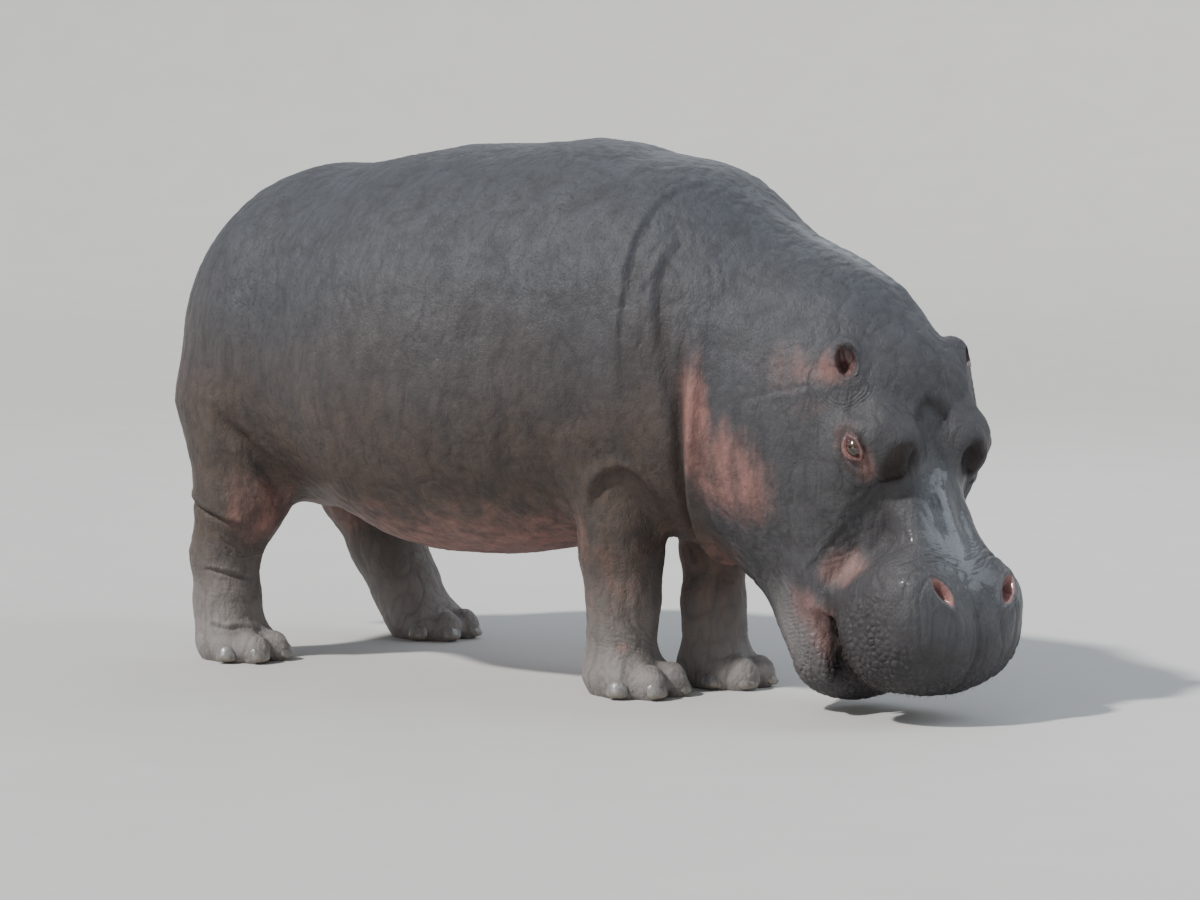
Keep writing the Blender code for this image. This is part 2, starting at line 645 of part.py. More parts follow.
def main():
    clear_scene()
    values = sample_field(body_field, FIELD_LOW, FIELD_HIGH, GRID)
    points, quads = surface_nets(values, FIELD_LOW, GRID)
    body = mesh_object("trunk", points, quads)
    thin_out(body, SHELL_TRIANGLES)
    floor = box_object(
        "floor",
        WORLD,
        (-FLOOR_REACH, -FLOOR_REACH, -FLOOR_DEPTH),
        (FLOOR_REACH, FLOOR_REACH, 0.0),
    )
    boolean(body, floor, "DIFFERENCE")
    bpy.data.objects.remove(floor)
    pieces = part_body(body)
    open_mouth(pieces["head"], pieces["lower_jaw"])
    skin = material("hide", SLATE, 0.55)
    for piece in pieces.values():
        piece.data.materials.clear()
        piece.data.materials.append(skin)
    objects = list(pieces.values())
    eye_material = material("eye", EYE_COLOUR, 0.12)
    for side in (1.0, -1.0):
        ear = add_ear(side, pieces["head"])
        ear.data.materials.append(skin)
        objects.append(ear)
        eye = add_eye(side, pieces["head"])
        eye.data.materials.append(eye_material)
        objects.append(eye)
    nail_material = material("nail", NAIL_COLOUR, 0.40)
    feet = (
        ("fore_right", "right_forefoot"),
        ("fore_left", "left_forefoot"),
        ("hind_right", "right_hind_foot"),
        ("hind_left", "left_hind_foot"),
    )
    for leg, foot in feet:
        for nail in add_nails(leg, pieces[foot], foot):
            nail.data.materials.append(nail_material)
            objects.append(nail)
    tongue = add_tongue()
    tongue.data.materials.append(material("tongue", TONGUE_COLOUR, 0.35))
    teeth = add_teeth(pieces["lower_jaw"])
    teeth.data.materials.clear()
    teeth.data.materials.append(material("tooth", TOOTH_COLOUR, 0.30))
    objects += [tongue, teeth]
    shift_to_centre(objects)


if __name__ == "__main__":
    main()
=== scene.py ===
"""The looks of a life-size hippopotamus that stands with its head lowered to graze.

One skin covers the whole animal. It is meshed from the same lofts and limbs as the solids, made
finer towards the head and feet, and then pressed and folded: eye sockets and lids, ear cups,
nostrils, lips, neck folds and leg wrinkles. Eyes, nails, tongue and teeth are pieces of their
own, and so are the bristles. Units are metres, +X is forward, +Y the animal's left and +Z up.
"""

import math

import bmesh
import bpy
import numpy as np
from mathutils import Matrix, Vector


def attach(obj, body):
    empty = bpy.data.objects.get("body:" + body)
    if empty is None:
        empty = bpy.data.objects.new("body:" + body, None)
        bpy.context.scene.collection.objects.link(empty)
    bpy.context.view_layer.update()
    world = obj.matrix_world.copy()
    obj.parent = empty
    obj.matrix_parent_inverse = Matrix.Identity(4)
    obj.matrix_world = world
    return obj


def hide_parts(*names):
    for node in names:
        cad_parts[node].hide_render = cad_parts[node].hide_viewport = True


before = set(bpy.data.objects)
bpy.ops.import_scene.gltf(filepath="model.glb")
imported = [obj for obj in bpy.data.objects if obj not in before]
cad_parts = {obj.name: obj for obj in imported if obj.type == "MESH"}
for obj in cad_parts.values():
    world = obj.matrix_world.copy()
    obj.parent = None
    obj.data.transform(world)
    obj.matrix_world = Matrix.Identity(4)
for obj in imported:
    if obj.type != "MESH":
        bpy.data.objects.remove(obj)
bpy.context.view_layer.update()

# ---------------------------------------------------------------- sizes
# The sculpture is worked out round the middle of the barrel and moved by SHIFT to stand in the frame.
SHIFT = np.array([-0.292, 0.0, 0.0])

# Grid steps of the mesher, the corners of its box, and a distance for all that is too far to matter.
COARSE, FINE = 0.056, 0.014
SCULPT_LOW, SCULPT_HIGH = (-1.26, -0.784, -0.112), (1.876, 0.784, 1.568)
FAR = 0.30
LOFT_SAMPLES = 96

HEAD_AT = np.array([1.345, -0.062, 0.856])
HEAD_TURN = (62.6, -16.5, -4.0)
NECK_AT = np.array([0.55, 0.0, 0.95])
NECK_TURN = (19.0, -1.0, 0.0)

# Loft rows: place along the axis, height of the top, of the widest line and of the bottom, half width.
TRUNK_ROWS = (
    (-0.50, 1.352, 0.857, 0.405, 0.478),
    (-0.10, 1.405, 0.80, 0.312, 0.57),
    (0.22, 1.415, 0.80, 0.33, 0.55),
    (0.45, 1.420, 0.84, 0.39, 0.48),
    (0.66, 1.335, 0.86, 0.46, 0.42),
)
TRUNK_CAPS = (0.477, 0.30)
NECK_ROWS = (
    (0.00, 0.435, 0.00, -0.46, 0.42),
    (0.20, 0.405, 0.00, -0.47, 0.38),
    (0.42, 0.365, 0.00, -0.47, 0.345),
    (0.62, 0.295, -0.02, -0.42, 0.31),
    (0.78, 0.215, -0.05, -0.32, 0.27),
)
NECK_CAPS = (0.30, 0.16)
SKULL_ROWS = (
    (0.00, 0.066, -0.16, -0.40, 0.222),
    (0.12, 0.022, -0.17, -0.42, 0.210),
    (0.22, -0.004, -0.19, -0.40, 0.170),
    (0.32, 0.014, -0.17, -0.33, 0.112),
    (0.42, 0.018, -0.15, -0.28, 0.120),
    (0.50, 0.012, -0.13, -0.26, 0.158),
    (0.60, 0.000, -0.14, -0.265, 0.208),
    (0.67, -0.030, -0.15, -0.270, 0.210),
)
SKULL_CAPS = (0.32, 0.115)
JAW_ROWS = (
    (0.10, -0.25, -0.38, -0.560, 0.200),
    (0.30, -0.30, -0.41, -0.615, 0.188),
    (0.45, -0.322, -0.44, -0.590, 0.182),
    (0.58, -0.322, -0.44, -0.560, 0.184),
)
JAW_CAPS = (0.12, 0.115)

# Lumps of the left half of the head, mirrored: centre, radii and the softness of the join.
HEAD_LUMPS = (
    ((0.212, 0.116, 0.006), (0.072, 0.054, 0.068), 0.016),  # brow
    ((0.164, 0.158, 0.004), (0.070, 0.044, 0.052), 0.020),  # roof of the eye
    ((0.192, 0.150, -0.028), (0.056, 0.040, 0.046), 0.026),  # lids round the eyeball
    ((0.232, 0.146, -0.070), (0.058, 0.026, 0.024), 0.050),  # bag under the eye
    ((0.000, 0.140, -0.020), (0.060, 0.050, 0.055), 0.040),  # root of the ear
    ((0.604, 0.122, -0.176), (0.130, 0.102, 0.120), 0.040),  # upper lip
    ((0.590, 0.110, -0.022), (0.085, 0.075, 0.050), 0.050),  # nostril mound
    ((0.160, 0.120, -0.300), (0.240, 0.120, 0.200), 0.080),  # cheek
    ((0.540, 0.166, -0.386), (0.130, 0.030, 0.030), 0.060),  # lower lip
    ((0.390, 0.130, -0.325), (0.110, 0.075, 0.100), 0.060),  # corner of the mouth
)
# Capsules of the same half: both ends, both radii and the softness of the join.
HEAD_RODS = (
    ((0.250, 0.054, -0.030), (0.500, 0.088, -0.040), 0.032, 0.042, 0.030),  # edge of the snout
    ((0.330, 0.105, -0.200), (0.470, 0.150, -0.320), 0.070, 0.050, 0.060),  # corner of the mouth
)
# Hollows of the same half, taken out: centre, radii and softness.
HEAD_HOLLOWS = (
    ((0.095, 0.205, 0.034), (0.060, 0.060, 0.080), 0.060),  # temple between ear and brow
    ((0.318, 0.160, 0.010), (0.050, 0.066, 0.078), 0.034),  # under the brow
    ((0.150, 0.000, 0.078), (0.066, 0.050, 0.064), 0.060),  # between the brows
    ((0.272, 0.094, 0.058), (0.052, 0.034, 0.054), 0.030),  # inner foot of the brow
)
# A furrow between the snout's side and the cheek: both ends, both radii and softness.
CHEEK_FURROW = ((0.290, 0.166, -0.050), (0.440, 0.204, -0.205), 0.030, 0.026, 0.060)
MUZZLE = ((0.602, 0.0, -0.148), (0.158, 0.219, 0.152), 3.0, 0.060)
MOUTH_SLOT = ((0.760, 0.0, -0.318), (0.300, 0.292, 0.030))
MOUTH_HOLLOW = ((0.560, 0.0, -0.320), (0.180, 0.120, 0.040))
MOUTH_CORNER = ((0.575, 0.215, -0.328), (0.078, 0.060, 0.032))
JAW_BLEND, LIP_BLEND, EAR_BLEND = 0.045, 0.012, 0.014
NECK_BLEND, HEAD_BLEND, TAIL_BLEND = 0.12, 0.16, 0.03
# Boxes of the sculpture outside which the neck, head and tail are too far away to matter.
NECK_BOX = ((0.15, -1.0, 0.1), (1.75, 1.0, 1.6))
HEAD_BOX = ((0.75, -0.70, -0.1), (2.0, 0.60, 1.35))
TAIL_BOX = ((-1.3, -0.2, 0.5), (-0.7, 0.2, 1.3))

EYE_RADIUS = 0.030
EAR_AT = np.array([-0.002, 0.172, 0.000])
EAR_TIP, EAR_OPENING = (-0.82, 0.30, 0.48), (0.42, 0.60, 0.68)
EAR_LENGTH, EAR_WIDTH, EAR_THICKNESS = 0.086, 0.064, 0.040
EAR_REACH = 0.42 * EAR_LENGTH

TAIL_PATH = (
    ((-0.922, 0.0, 1.080), 0.060),
    ((-1.007, 0.0, 0.960), 0.046),
    ((-1.042, 0.0, 0.800), 0.034),
    ((-1.047, 0.0, 0.660), 0.024),
)

FEET = {
    "fore_right": (0.590, -0.212),
    "fore_left": (0.680, 0.075),
    "hind_right": (-0.675, -0.320),
    "hind_left": (-0.570, 0.365),
}
LEG_RINGS = {
    "fore_right": (
        ((0.570, -0.240, 0.680), 0.160),
        ((0.594, -0.225, 0.460), 0.101),
        ((0.588, -0.212, 0.360), 0.093),
        ((0.594, -0.212, 0.240), 0.081),
        ((0.588, -0.212, 0.140), 0.076),
        ((0.590, -0.212, 0.060), 0.085),
    ),
    "fore_left": (
        ((0.600, 0.220, 0.680), 0.160),
        ((0.660, 0.135, 0.460), 0.086),
        ((0.666, 0.085, 0.360), 0.077),
        ((0.674, 0.075, 0.220), 0.072),
        ((0.680, 0.075, 0.130), 0.068),
        ((0.680, 0.075, 0.060), 0.078),
    ),
    "hind_right": (
        ((-0.660, -0.260, 0.680), 0.205),
        ((-0.660, -0.305, 0.440), 0.116),
        ((-0.708, -0.320, 0.290), 0.084),
        ((-0.696, -0.320, 0.150), 0.082),
        ((-0.680, -0.320, 0.060), 0.090),
    ),
    "hind_left": (
        ((-0.680, 0.260, 0.680), 0.205),
        ((-0.770, 0.330, 0.420), 0.116),
        ((-0.705, 0.360, 0.250), 0.096),
        ((-0.635, 0.365, 0.140), 0.088),
        ((-0.590, 0.365, 0.060), 0.090),
    ),
}
LEG_BLEND = {"fore_right": 0.05, "fore_left": 0.05, "hind_right": 0.08, "hind_left": 0.08}
# How far a leg reaches from its foot: back and forward, to the right, to the left, and up.
LEG_SPREAD, LEG_RIGHT, LEG_LEFT, LEG_TOP = 0.5, 0.35, 0.45, 0.98
LIMB_BLEND, ANKLE_BLEND, TOE_BLEND = 0.05, 0.04, 0.026
FOOT_SCALE = {"fore_right": 1.0, "fore_left": 0.9, "hind_right": 0.92, "hind_left": 0.92}
PAD_RADII, PAD_HEIGHT = (0.104, 0.104, 0.080), 0.05
OUTER_TOE, INNER_TOE = (0.052, 0.040, 0.050), (0.056, 0.043, 0.053)
# Each toe: angle from straight ahead, reach from the foot's middle and radii.
TOES = (
    (-62.0, 0.086, OUTER_TOE),
    (-22.0, 0.116, INNER_TOE),
    (20.0, 0.116, INNER_TOE),
    (60.0, 0.086, OUTER_TOE),
)
TOES_FORWARD, TOE_HEIGHT = 0.012, 0.034


# ---------------------------------------------------------------- frames
def pitched_frame(pitch, yaw, roll):
    """Columns forward, left and up of a frame that points down by pitch and left by yaw."""
    p, y, r = (math.radians(angle) for angle in (pitch, yaw, roll))
    forward = np.array([math.cos(p) * math.cos(y), math.cos(p) * math.sin(y), -math.sin(p)])
    up = np.array([math.sin(p) * math.cos(y), math.sin(p) * math.sin(y), math.cos(p)])
    left = np.cross(up, forward)
    rolled_left = math.cos(r) * left + math.sin(r) * up
    rolled_up = -math.sin(r) * left + math.cos(r) * up
    return np.stack([forward, rolled_left, rolled_up], axis=1)


HEAD = pitched_frame(*HEAD_TURN)
NECK = pitched_frame(*NECK_TURN)


def unit(vector):
    vector = np.asarray(vector, float)
    return vector / np.linalg.norm(vector)


def ear_frame():
    """Columns tip, width and opening of the left ear in the head frame."""
    tip = unit(EAR_TIP)
    opening = unit(np.array(EAR_OPENING) - tip * np.dot(EAR_OPENING, tip))
    return np.stack([tip, np.cross(opening, tip), opening], axis=1)


EAR = ear_frame()


def in_head(points):
    return (points - HEAD_AT) @ HEAD


def mirrored(q):
    return np.stack([q[:, 0], np.abs(q[:, 1]), q[:, 2]], axis=1)


# ---------------------------------------------------------------- field shapes
def smoothstep(value, start, end):
    t = np.clip((value - start) / (end - start), 0.0, 1.0)
    return t * t * (3.0 - 2.0 * t)


def bell(value, middle, width):
    """1 where value is middle, falling off to nearly 0 at twice the width from it."""
    return np.exp(-(((value - middle) / width) ** 2))


def oval(first, second, half_lengths):
    """How far out two coordinates are in an oval: 0 in its middle and 1 at its edge."""
    return np.hypot(first / half_lengths[0], second / half_lengths[1])


def unit_rows(rows, least=1e-6):
    """The rows at length 1, but those shorter than least stay short."""
    return rows / np.maximum(np.linalg.norm(rows, axis=1, keepdims=True), least)


def ellipsoid(points, centre, radii):
    """About the distance to an ellipsoid, below zero inside it."""
    q = points - np.asarray(centre)
    radii = np.asarray(radii)
    size = np.linalg.norm(q / radii, axis=-1)
    slope = np.linalg.norm(q / radii**2, axis=-1)
    return size * (size - 1.0) / np.maximum(slope, 1e-9)


def block(points, centre, radii, power):
    """An ellipsoid with squarer shoulders the higher its power is."""
    q = np.abs(points - np.asarray(centre)) / np.asarray(radii)
    size = np.maximum((q**power).sum(axis=-1) ** (1.0 / power), 1e-6)
    slope = np.linalg.norm((q / size[..., None]) ** (power - 1.0) / np.asarray(radii), axis=-1)
    return (size - 1.0) / np.maximum(slope, 1e-6)


def tapered(points, start, end, start_radius, end_radius):
    """The distance to a capsule whose radius changes along it."""
    start, end = np.asarray(start), np.asarray(end)
    run = end - start
    share = np.clip((points - start) @ run / (run @ run), 0.0, 1.0)
    reach = np.linalg.norm(points - start - share[..., None] * run, axis=-1)
    return reach - (start_radius + (end_radius - start_radius) * share)


def join(a, b, soft):
    """Union of two fields, with a fillet about as wide as soft."""
    near = np.maximum(soft - np.abs(a - b), 0.0) / soft
    return np.minimum(a, b) - near * near * soft * 0.25


def carve(a, b, soft):
    """Field a with field b taken out, rounded by soft."""
    return -join(-a, b, soft)


def near_box(points, low, high, field):
    """The field's values for the points in the box, and FAR for the others."""
    values = np.full(len(points), FAR)
    inside = ((points > low) & (points < high)).all(axis=1)
    if inside.any():
        values[inside] = field(points[inside])
    return values


def smooth_rows(rows):
    """Samples of a smooth curve through the rows, by cubic Hermite pieces, level where the caps begin."""
    rows = np.array(rows)
    knots, values = rows[:, 0], rows[:, 1:]
    slopes = np.gradient(values, knots, axis=0)
    slopes[0] = slopes[-1] = 0.0
    places = np.linspace(knots[0], knots[-1], LOFT_SAMPLES)
    i = np.clip(np.searchsorted(knots, places, side="right") - 1, 0, len(knots) - 2)
    gap = (knots[i + 1] - knots[i])[:, None]
    t = (places - knots[i])[:, None] / gap
    start = (2 * t**3 - 3 * t**2 + 1) * values[i] + (t**3 - 2 * t**2 + t) * gap * slopes[i]
    end = (3 * t**2 - 2 * t**3) * values[i + 1] + (t**3 - t**2) * gap * slopes[i + 1]
    return places, start + end


def loft(points, rows, caps):
    """A body whose egg-shaped sections follow the rows, closed by half ellipsoids."""
    places, values = smooth_rows(rows)
    along = np.clip(points[:, 0], places[0], places[-1])
    top, middle, bottom, half_width = (np.interp(along, places, values[:, i]) for i in range(4))
    beyond = points[:, 0] - along
    cap = np.where(beyond < 0.0, caps[0], caps[1])
    rise = points[:, 2] - middle
    half_height = np.where(rise > 0.0, top - middle, middle - bottom)
    size = np.sqrt((beyond / cap) ** 2 + (points[:, 1] / half_width) ** 2 + (rise / half_height) ** 2)
    slope = (beyond / cap**2) ** 2 + (points[:, 1] / half_width**2) ** 2 + (rise / half_height**2) ** 2
    slope = np.sqrt(slope)
    return size * (size - 1.0) / np.maximum(slope, 1e-9)


def limb(points, rings):
    """Tapered lengths from ring to ring, joined. A ring is a place and a radius."""
    field = None
    for (start, start_radius), (end, end_radius) in zip(rings[:-1], rings[1:]):
        length = tapered(points, start, end, start_radius, end_radius)
        field = length if field is None else join(field, length, LIMB_BLEND)
    return field


# ---------------------------------------------------------------- the animal as a field
def toes(leg):
    """Angle, centre and radii of each toe, from the right one to the left one."""
    x, y = FEET[leg]
    scale = FOOT_SCALE[leg]
    for angle, reach, radii in TOES:
        turn = math.radians(angle)
        ahead = scale * (TOES_FORWARD + reach * math.cos(turn))
        centre = (x + ahead, y + scale * reach * math.sin(turn), TOE_HEIGHT)
        yield angle, centre, tuple(scale * radius for radius in radii)


def foot_field(points, leg):
    x, y = FEET[leg]
    pad = tuple(FOOT_SCALE[leg] * radius for radius in PAD_RADII)
    field = ellipsoid(points, (x, y, PAD_HEIGHT), pad)
    for _, centre, radii in toes(leg):
        field = join(field, ellipsoid(points, centre, radii), TOE_BLEND)
    return field


def leg_field(points, leg):
    return join(limb(points, LEG_RINGS[leg]), foot_field(points, leg), ANKLE_BLEND)


def ear_points(q):
    """Points of the mirrored head frame in the ear's own frame, measured from the cup's middle."""
    return (q - EAR_AT) @ EAR - np.array([EAR_REACH, 0.0, 0.0])


def ear_reach(cup):
    """0 in the middle of the ear and 1 at its rim."""
    return oval(cup[:, 0], cup[:, 1], (EAR_LENGTH / 2.0, EAR_WIDTH / 2.0))


def head_field(points):
    """Distance to the head with its muzzle, ears and jaw, and with the mouth's slot cut in."""
    q = mirrored(in_head(points))
    field = loft(q, SKULL_ROWS, SKULL_CAPS)
    for centre, radii, soft in HEAD_LUMPS:
        field = join(field, ellipsoid(q, centre, radii), soft)
    for start, end, start_radius, end_radius, soft in HEAD_RODS:
        field = join(field, tapered(q, start, end, start_radius, end_radius), soft)
    for centre, radii, soft in HEAD_HOLLOWS:
        field = carve(field, ellipsoid(q, centre, radii), soft)
    start, end, start_radius, end_radius, soft = CHEEK_FURROW
    field = carve(field, tapered(q, start, end, start_radius, end_radius), soft)
    centre, radii, power, soft = MUZZLE
    field = join(field, block(q, centre, radii, power), soft)
    paddle = (EAR_LENGTH / 2.0, EAR_WIDTH / 2.0, EAR_THICKNESS / 2.0)
    field = join(field, ellipsoid(ear_points(q), (0.0, 0.0, 0.0), paddle), EAR_BLEND)
    field = join(field, loft(q, JAW_ROWS, JAW_CAPS), JAW_BLEND)
    for centre, radii in (MOUTH_SLOT, MOUTH_HOLLOW, MOUTH_CORNER):
        field = carve(field, ellipsoid(q, centre, radii), LIP_BLEND)
    return field


def neck_field(points):
    return loft((points - NECK_AT) @ NECK, NECK_ROWS, NECK_CAPS)


def body_field(points):
    """Below zero inside the animal. Points are rows of x, y and z."""
    field = loft(points, TRUNK_ROWS, TRUNK_CAPS)
    field = join(field, near_box(points, *NECK_BOX, neck_field), NECK_BLEND)
    field = join(field, near_box(points, *HEAD_BOX, head_field), HEAD_BLEND)
    tail = near_box(points, *TAIL_BOX, lambda p: limb(p, TAIL_PATH))
    field = join(field, tail, TAIL_BLEND)
    legs = []
    for leg, (x, y) in FEET.items():
        low = (x - LEG_SPREAD, y - LEG_RIGHT, -0.2)
        high = (x + LEG_SPREAD, y + LEG_LEFT, LEG_TOP)
        values = near_box(points, low, high, lambda p, leg=leg: leg_field(p, leg))
        legs.append(join(field, values, LEG_BLEND[leg]))
    return np.minimum.reduce(legs)


# ---------------------------------------------------------------- meshing
BLOCK_SIZE = 120000
NEAR_SURFACE = 0.75 * COARSE
SLIDE_ROUNDS, SLIDE_STEP, SLIDE_LIMIT, LEAST_SLOPE = 2, 0.002, 0.01, 0.3


def in_blocks(points, work):
    """What work gives for the points, a block of them at a time."""
    return np.concatenate([work(points[i : i + BLOCK_SIZE]) for i in range(0, len(points), BLOCK_SIZE)])


def sample_field():
    """The field on the fine grid: exact near the surface, and spread from a coarse grid elsewhere."""
    low = np.array(SCULPT_LOW)
    ratio = round(COARSE / FINE)
    counts = np.round((np.array(SCULPT_HIGH) - low) / COARSE).astype(int)
    axes = [low[i] + COARSE * np.arange(counts[i] + 1) for i in range(3)]
    coarse = np.stack(np.meshgrid(*axes, indexing="ij"), axis=-1).reshape(-1, 3)
    values = in_blocks(coarse, body_field).reshape(counts + 1)
    for axis in range(3):
        count = values.shape[axis]
        places = np.arange((count - 1) * ratio + 1) / ratio
        index = np.minimum(places.astype(int), count - 2)
        share = (places - index).reshape([-1 if i == axis else 1 for i in range(3)])
        values = np.take(values, index, axis) * (1 - share) + np.take(values, index + 1, axis) * share
    near = np.argwhere(np.abs(values) < NEAR_SURFACE)
    values[tuple(near.T)] = in_blocks(low + FINE * near, body_field)
    return values


def surface_nets(values, low, grid):
    """One point in each cell that the surface crosses, and one quad for each grid edge that it crosses."""
    inside = values < 0.0
    shape = np.array(inside.shape) - 1
    corners = list(np.ndindex(2, 2, 2))
    count = 0
    for i, j, k in corners:
        count = count + inside[i : i + shape[0], j : j + shape[1], k : k + shape[2]].astype(np.int8)
    cells = np.argwhere((count > 0) & (count < 8))
    index = np.full(shape, -1)
    index[tuple(cells.T)] = np.arange(len(cells))
    total, crossings = np.zeros((len(cells), 3)), np.zeros(len(cells))
    for corner in corners:
        for axis in range(3):
            if corner[axis]:
                continue
            step = np.eye(3, dtype=int)[axis]
            first = values[tuple((cells + corner).T)]
            second = values[tuple((cells + corner + step).T)]
            crossed = (first < 0.0) != (second < 0.0)
            share = np.where(crossed, first / np.where(crossed, first - second, 1.0), 0.0)
            total += (np.array(corner) + share[:, None] * step) * crossed[:, None]
            crossings += crossed
    points = np.array(low) + grid * (cells + total / crossings[:, None])
    quads = []
    for axis in range(3):
        step = np.eye(3, dtype=int)[axis]
        ahead = inside[step[0] :, step[1] :, step[2] :]
        last = np.array(inside.shape) - step
        behind = inside[: last[0], : last[1], : last[2]]
        edges = np.argwhere(ahead != behind)
        u, v = (other for other in range(3) if other != axis)
        kept = (edges[:, u] > 0) & (edges[:, v] > 0) & (edges[:, u] < shape[u]) & (edges[:, v] < shape[v])
        edges = edges[kept]
        quad = np.empty((len(edges), 4), int)
        for place, (back_u, back_v) in enumerate(((1, 1), (0, 1), (0, 0), (1, 0))):
            cell = edges.copy()
            cell[:, u] -= back_u
            cell[:, v] -= back_v
            quad[:, place] = index[tuple(cell.T)]
        outward = behind[tuple(edges.T)] if axis != 1 else ~behind[tuple(edges.T)]
        quad[~outward] = quad[~outward][:, ::-1]
        quads.append(quad)
    return points, np.concatenate(quads)


def triangles_of(points, quads):
    """Each quad split along its shorter diagonal."""
    first = np.linalg.norm(points[quads[:, 0]] - points[quads[:, 2]], axis=1)
    second = np.linalg.norm(points[quads[:, 1]] - points[quads[:, 3]], axis=1)
    a = quads[first <= second]
    b = quads[first > second]
    return np.concatenate([a[:, [0, 1, 2]], a[:, [0, 2, 3]], b[:, [0, 1, 3]], b[:, [1, 2, 3]]])


def corner_normals(points, faces):
    """Normal of each point, from the faces round it weighed by area."""
    a, b, c = (points[faces[:, i]] for i in range(3))
    cross = np.cross(b - a, c - a)
    sums = [np.bincount(faces.ravel(), np.repeat(cross[:, i], 3), len(points)) for i in range(3)]
    return unit_rows(np.stack(sums, axis=1), 1e-12)


def onto_field(points, normals):
    """Slides points along their normals to where the field is zero."""

    def slide(block):
        p, n = block[:, :3].copy(), block[:, 3:]
        for _ in range(SLIDE_ROUNDS):
            value = body_field(p)
            slope = (body_field(p + SLIDE_STEP * n) - value) / SLIDE_STEP
            move = value / np.where(slope > LEAST_SLOPE, slope, 1.0)
            p -= np.clip(move, -SLIDE_LIMIT, SLIDE_LIMIT)[:, None] * n
        return p

    return in_blocks(np.hstack([points, normals]), slide)


def refine(points, faces, chosen):
    """Halves the edges of the chosen faces. A neighbour with one or two halved edges is split to match."""
    edges = np.sort(np.stack([faces, np.roll(faces, -1, axis=1)], axis=2), axis=2)
    code = edges[:, :, 0] * len(points) + edges[:, :, 1]
    halved = np.unique(code[chosen])
    middle = np.full(code.shape, -1)
    place = np.searchsorted(halved, code).clip(0, len(halved) - 1)
    hit = halved[place] == code
    middle[hit] = len(points) + place[hit]
    ends = np.stack([halved // len(points), halved % len(points)], axis=1)
    grown = np.concatenate([points, points[ends].mean(axis=1)])
    count = (middle >= 0).sum(axis=1)
    made = [faces[count == 0]]
    for corner in range(3):
        a, b, c = (np.roll(faces, -corner, axis=1)[:, i] for i in range(3))
        ab, bc, ca = (np.roll(middle, -corner, axis=1)[:, i] for i in range(3))
        one = (count == 1) & (ab >= 0)
        made += [np.stack(t, axis=1)[one] for t in ((a, ab, c), (ab, b, c))]
        two = (count == 2) & (ca < 0)
        made += [np.stack(t, axis=1)[two] for t in ((a, ab, c), (ab, bc, c), (ab, b, bc))]
    three = count == 3
    a, b, c = faces[three].T
    ab, bc, ca = middle[three].T
    made += [np.stack(t, axis=1) for t in ((a, ab, ca), (ab, b, bc), (ca, bc, c), (ab, bc, ca))]
    return grown, np.concatenate(made), len(points)


def refine_on_field(points, faces, chosen):
    """The finer mesh, with its new points slid onto the field."""
    grown, made, old = refine(points, faces, chosen)
    normals = corner_normals(grown, made)
    grown[old:] = onto_field(grown[old:], normals[old:])
    return grown, made


# ---------------------------------------------------------------- noise
PEBBLE_STRAY, PEBBLE_GAP = 0.38, 0.45


def scramble(cells, seed):
    """Repeatable values from -1 to 1 for rows of whole numbers."""
    h = cells[..., 0] * 374761393 + cells[..., 1] * 668265263 + cells[..., 2] * 1274126177
    h = h + seed * 974634777
    h = (h ^ (h >> 13)) & 0xFFFFFFFF
    h = (h * 1103515245 + 12345) & 0xFFFFFFFF
    h = (h ^ (h >> 16)) * 2246822519 & 0xFFFFFFFF
    return (h ^ (h >> 15)) / 2147483647.5 - 1.0


def noise(points, size, seed):
    """Smooth noise from -1 to 1 whose lumps are about as wide as size, which may differ by axis."""
    q = points / np.asarray(size)
    cell = np.floor(q).astype(np.int64)
    t = q - cell
    t = t * t * (3.0 - 2.0 * t)
    total = np.zeros(len(points))
    for corner in np.ndindex(2, 2, 2):
        x, y, z = (t[:, i] if corner[i] else 1.0 - t[:, i] for i in range(3))
        total += x * y * z * scramble(cell + np.array(corner), seed)
    return total


def layered_noise(points, layers):
    """The sum of some noises, each an amount, a size and a seed."""
    return sum(amount * noise(points, size, seed) for amount, size, seed in layers)


def pebbles(points, size, seed):
    """Rounded bumps: 1 in the middle of each and 0 in the gaps between them."""
    q = points / np.asarray(size)
    cell = np.floor(q).astype(np.int64)
    nearest, second = np.full(len(points), 9.0), np.full(len(points), 9.0)
    for step in np.ndindex(3, 3, 3):
        corner = cell + np.array(step) - 1
        stray = np.stack([scramble(corner, seed + n) for n in range(3)], axis=1)
        reach = np.linalg.norm(q - (corner + 0.5 + PEBBLE_STRAY * stray), axis=1)
        second = np.minimum(second, np.maximum(nearest, reach))
        nearest = np.minimum(nearest, reach)
    return smoothstep(second - nearest, 0.0, PEBBLE_GAP)


# ---------------------------------------------------------------- sockets, cups and nostrils
EYE_NEAR, EYE_DEPTH = (0.190, 0.180, -0.022), 0.0240
EYE_SLIT, EYE_OPENING = (0.91, -0.41, -0.04), (0.0330, 0.0150)
LID_RADIUS, LID_SPAN, SOCKET_RADIUS = 0.0322, (0.070, 0.038), 0.0190
NOSTRIL_NEAR, NOSTRIL_SLIT = (0.600, 0.112, 0.040), (0.84, -0.54, 0.08)
NOSTRIL_SIZE, NOSTRIL_DEPTH, NOSTRIL_RIM = (0.043, 0.0190), 0.032, 0.0055
LID_ROLL, LID_GROOVE, BAG_ROLL, BAG_GROOVE = 0.0074, 0.0088, 0.0036, 0.0040
CUP_DEPTH, EAR_HOLE_DEPTH, CUP_RIDGE, EAR_RIM = 0.026, 0.016, 0.0030, 0.0026
SETTLE_ROUNDS, SETTLE_STEP = 5, 1e-3


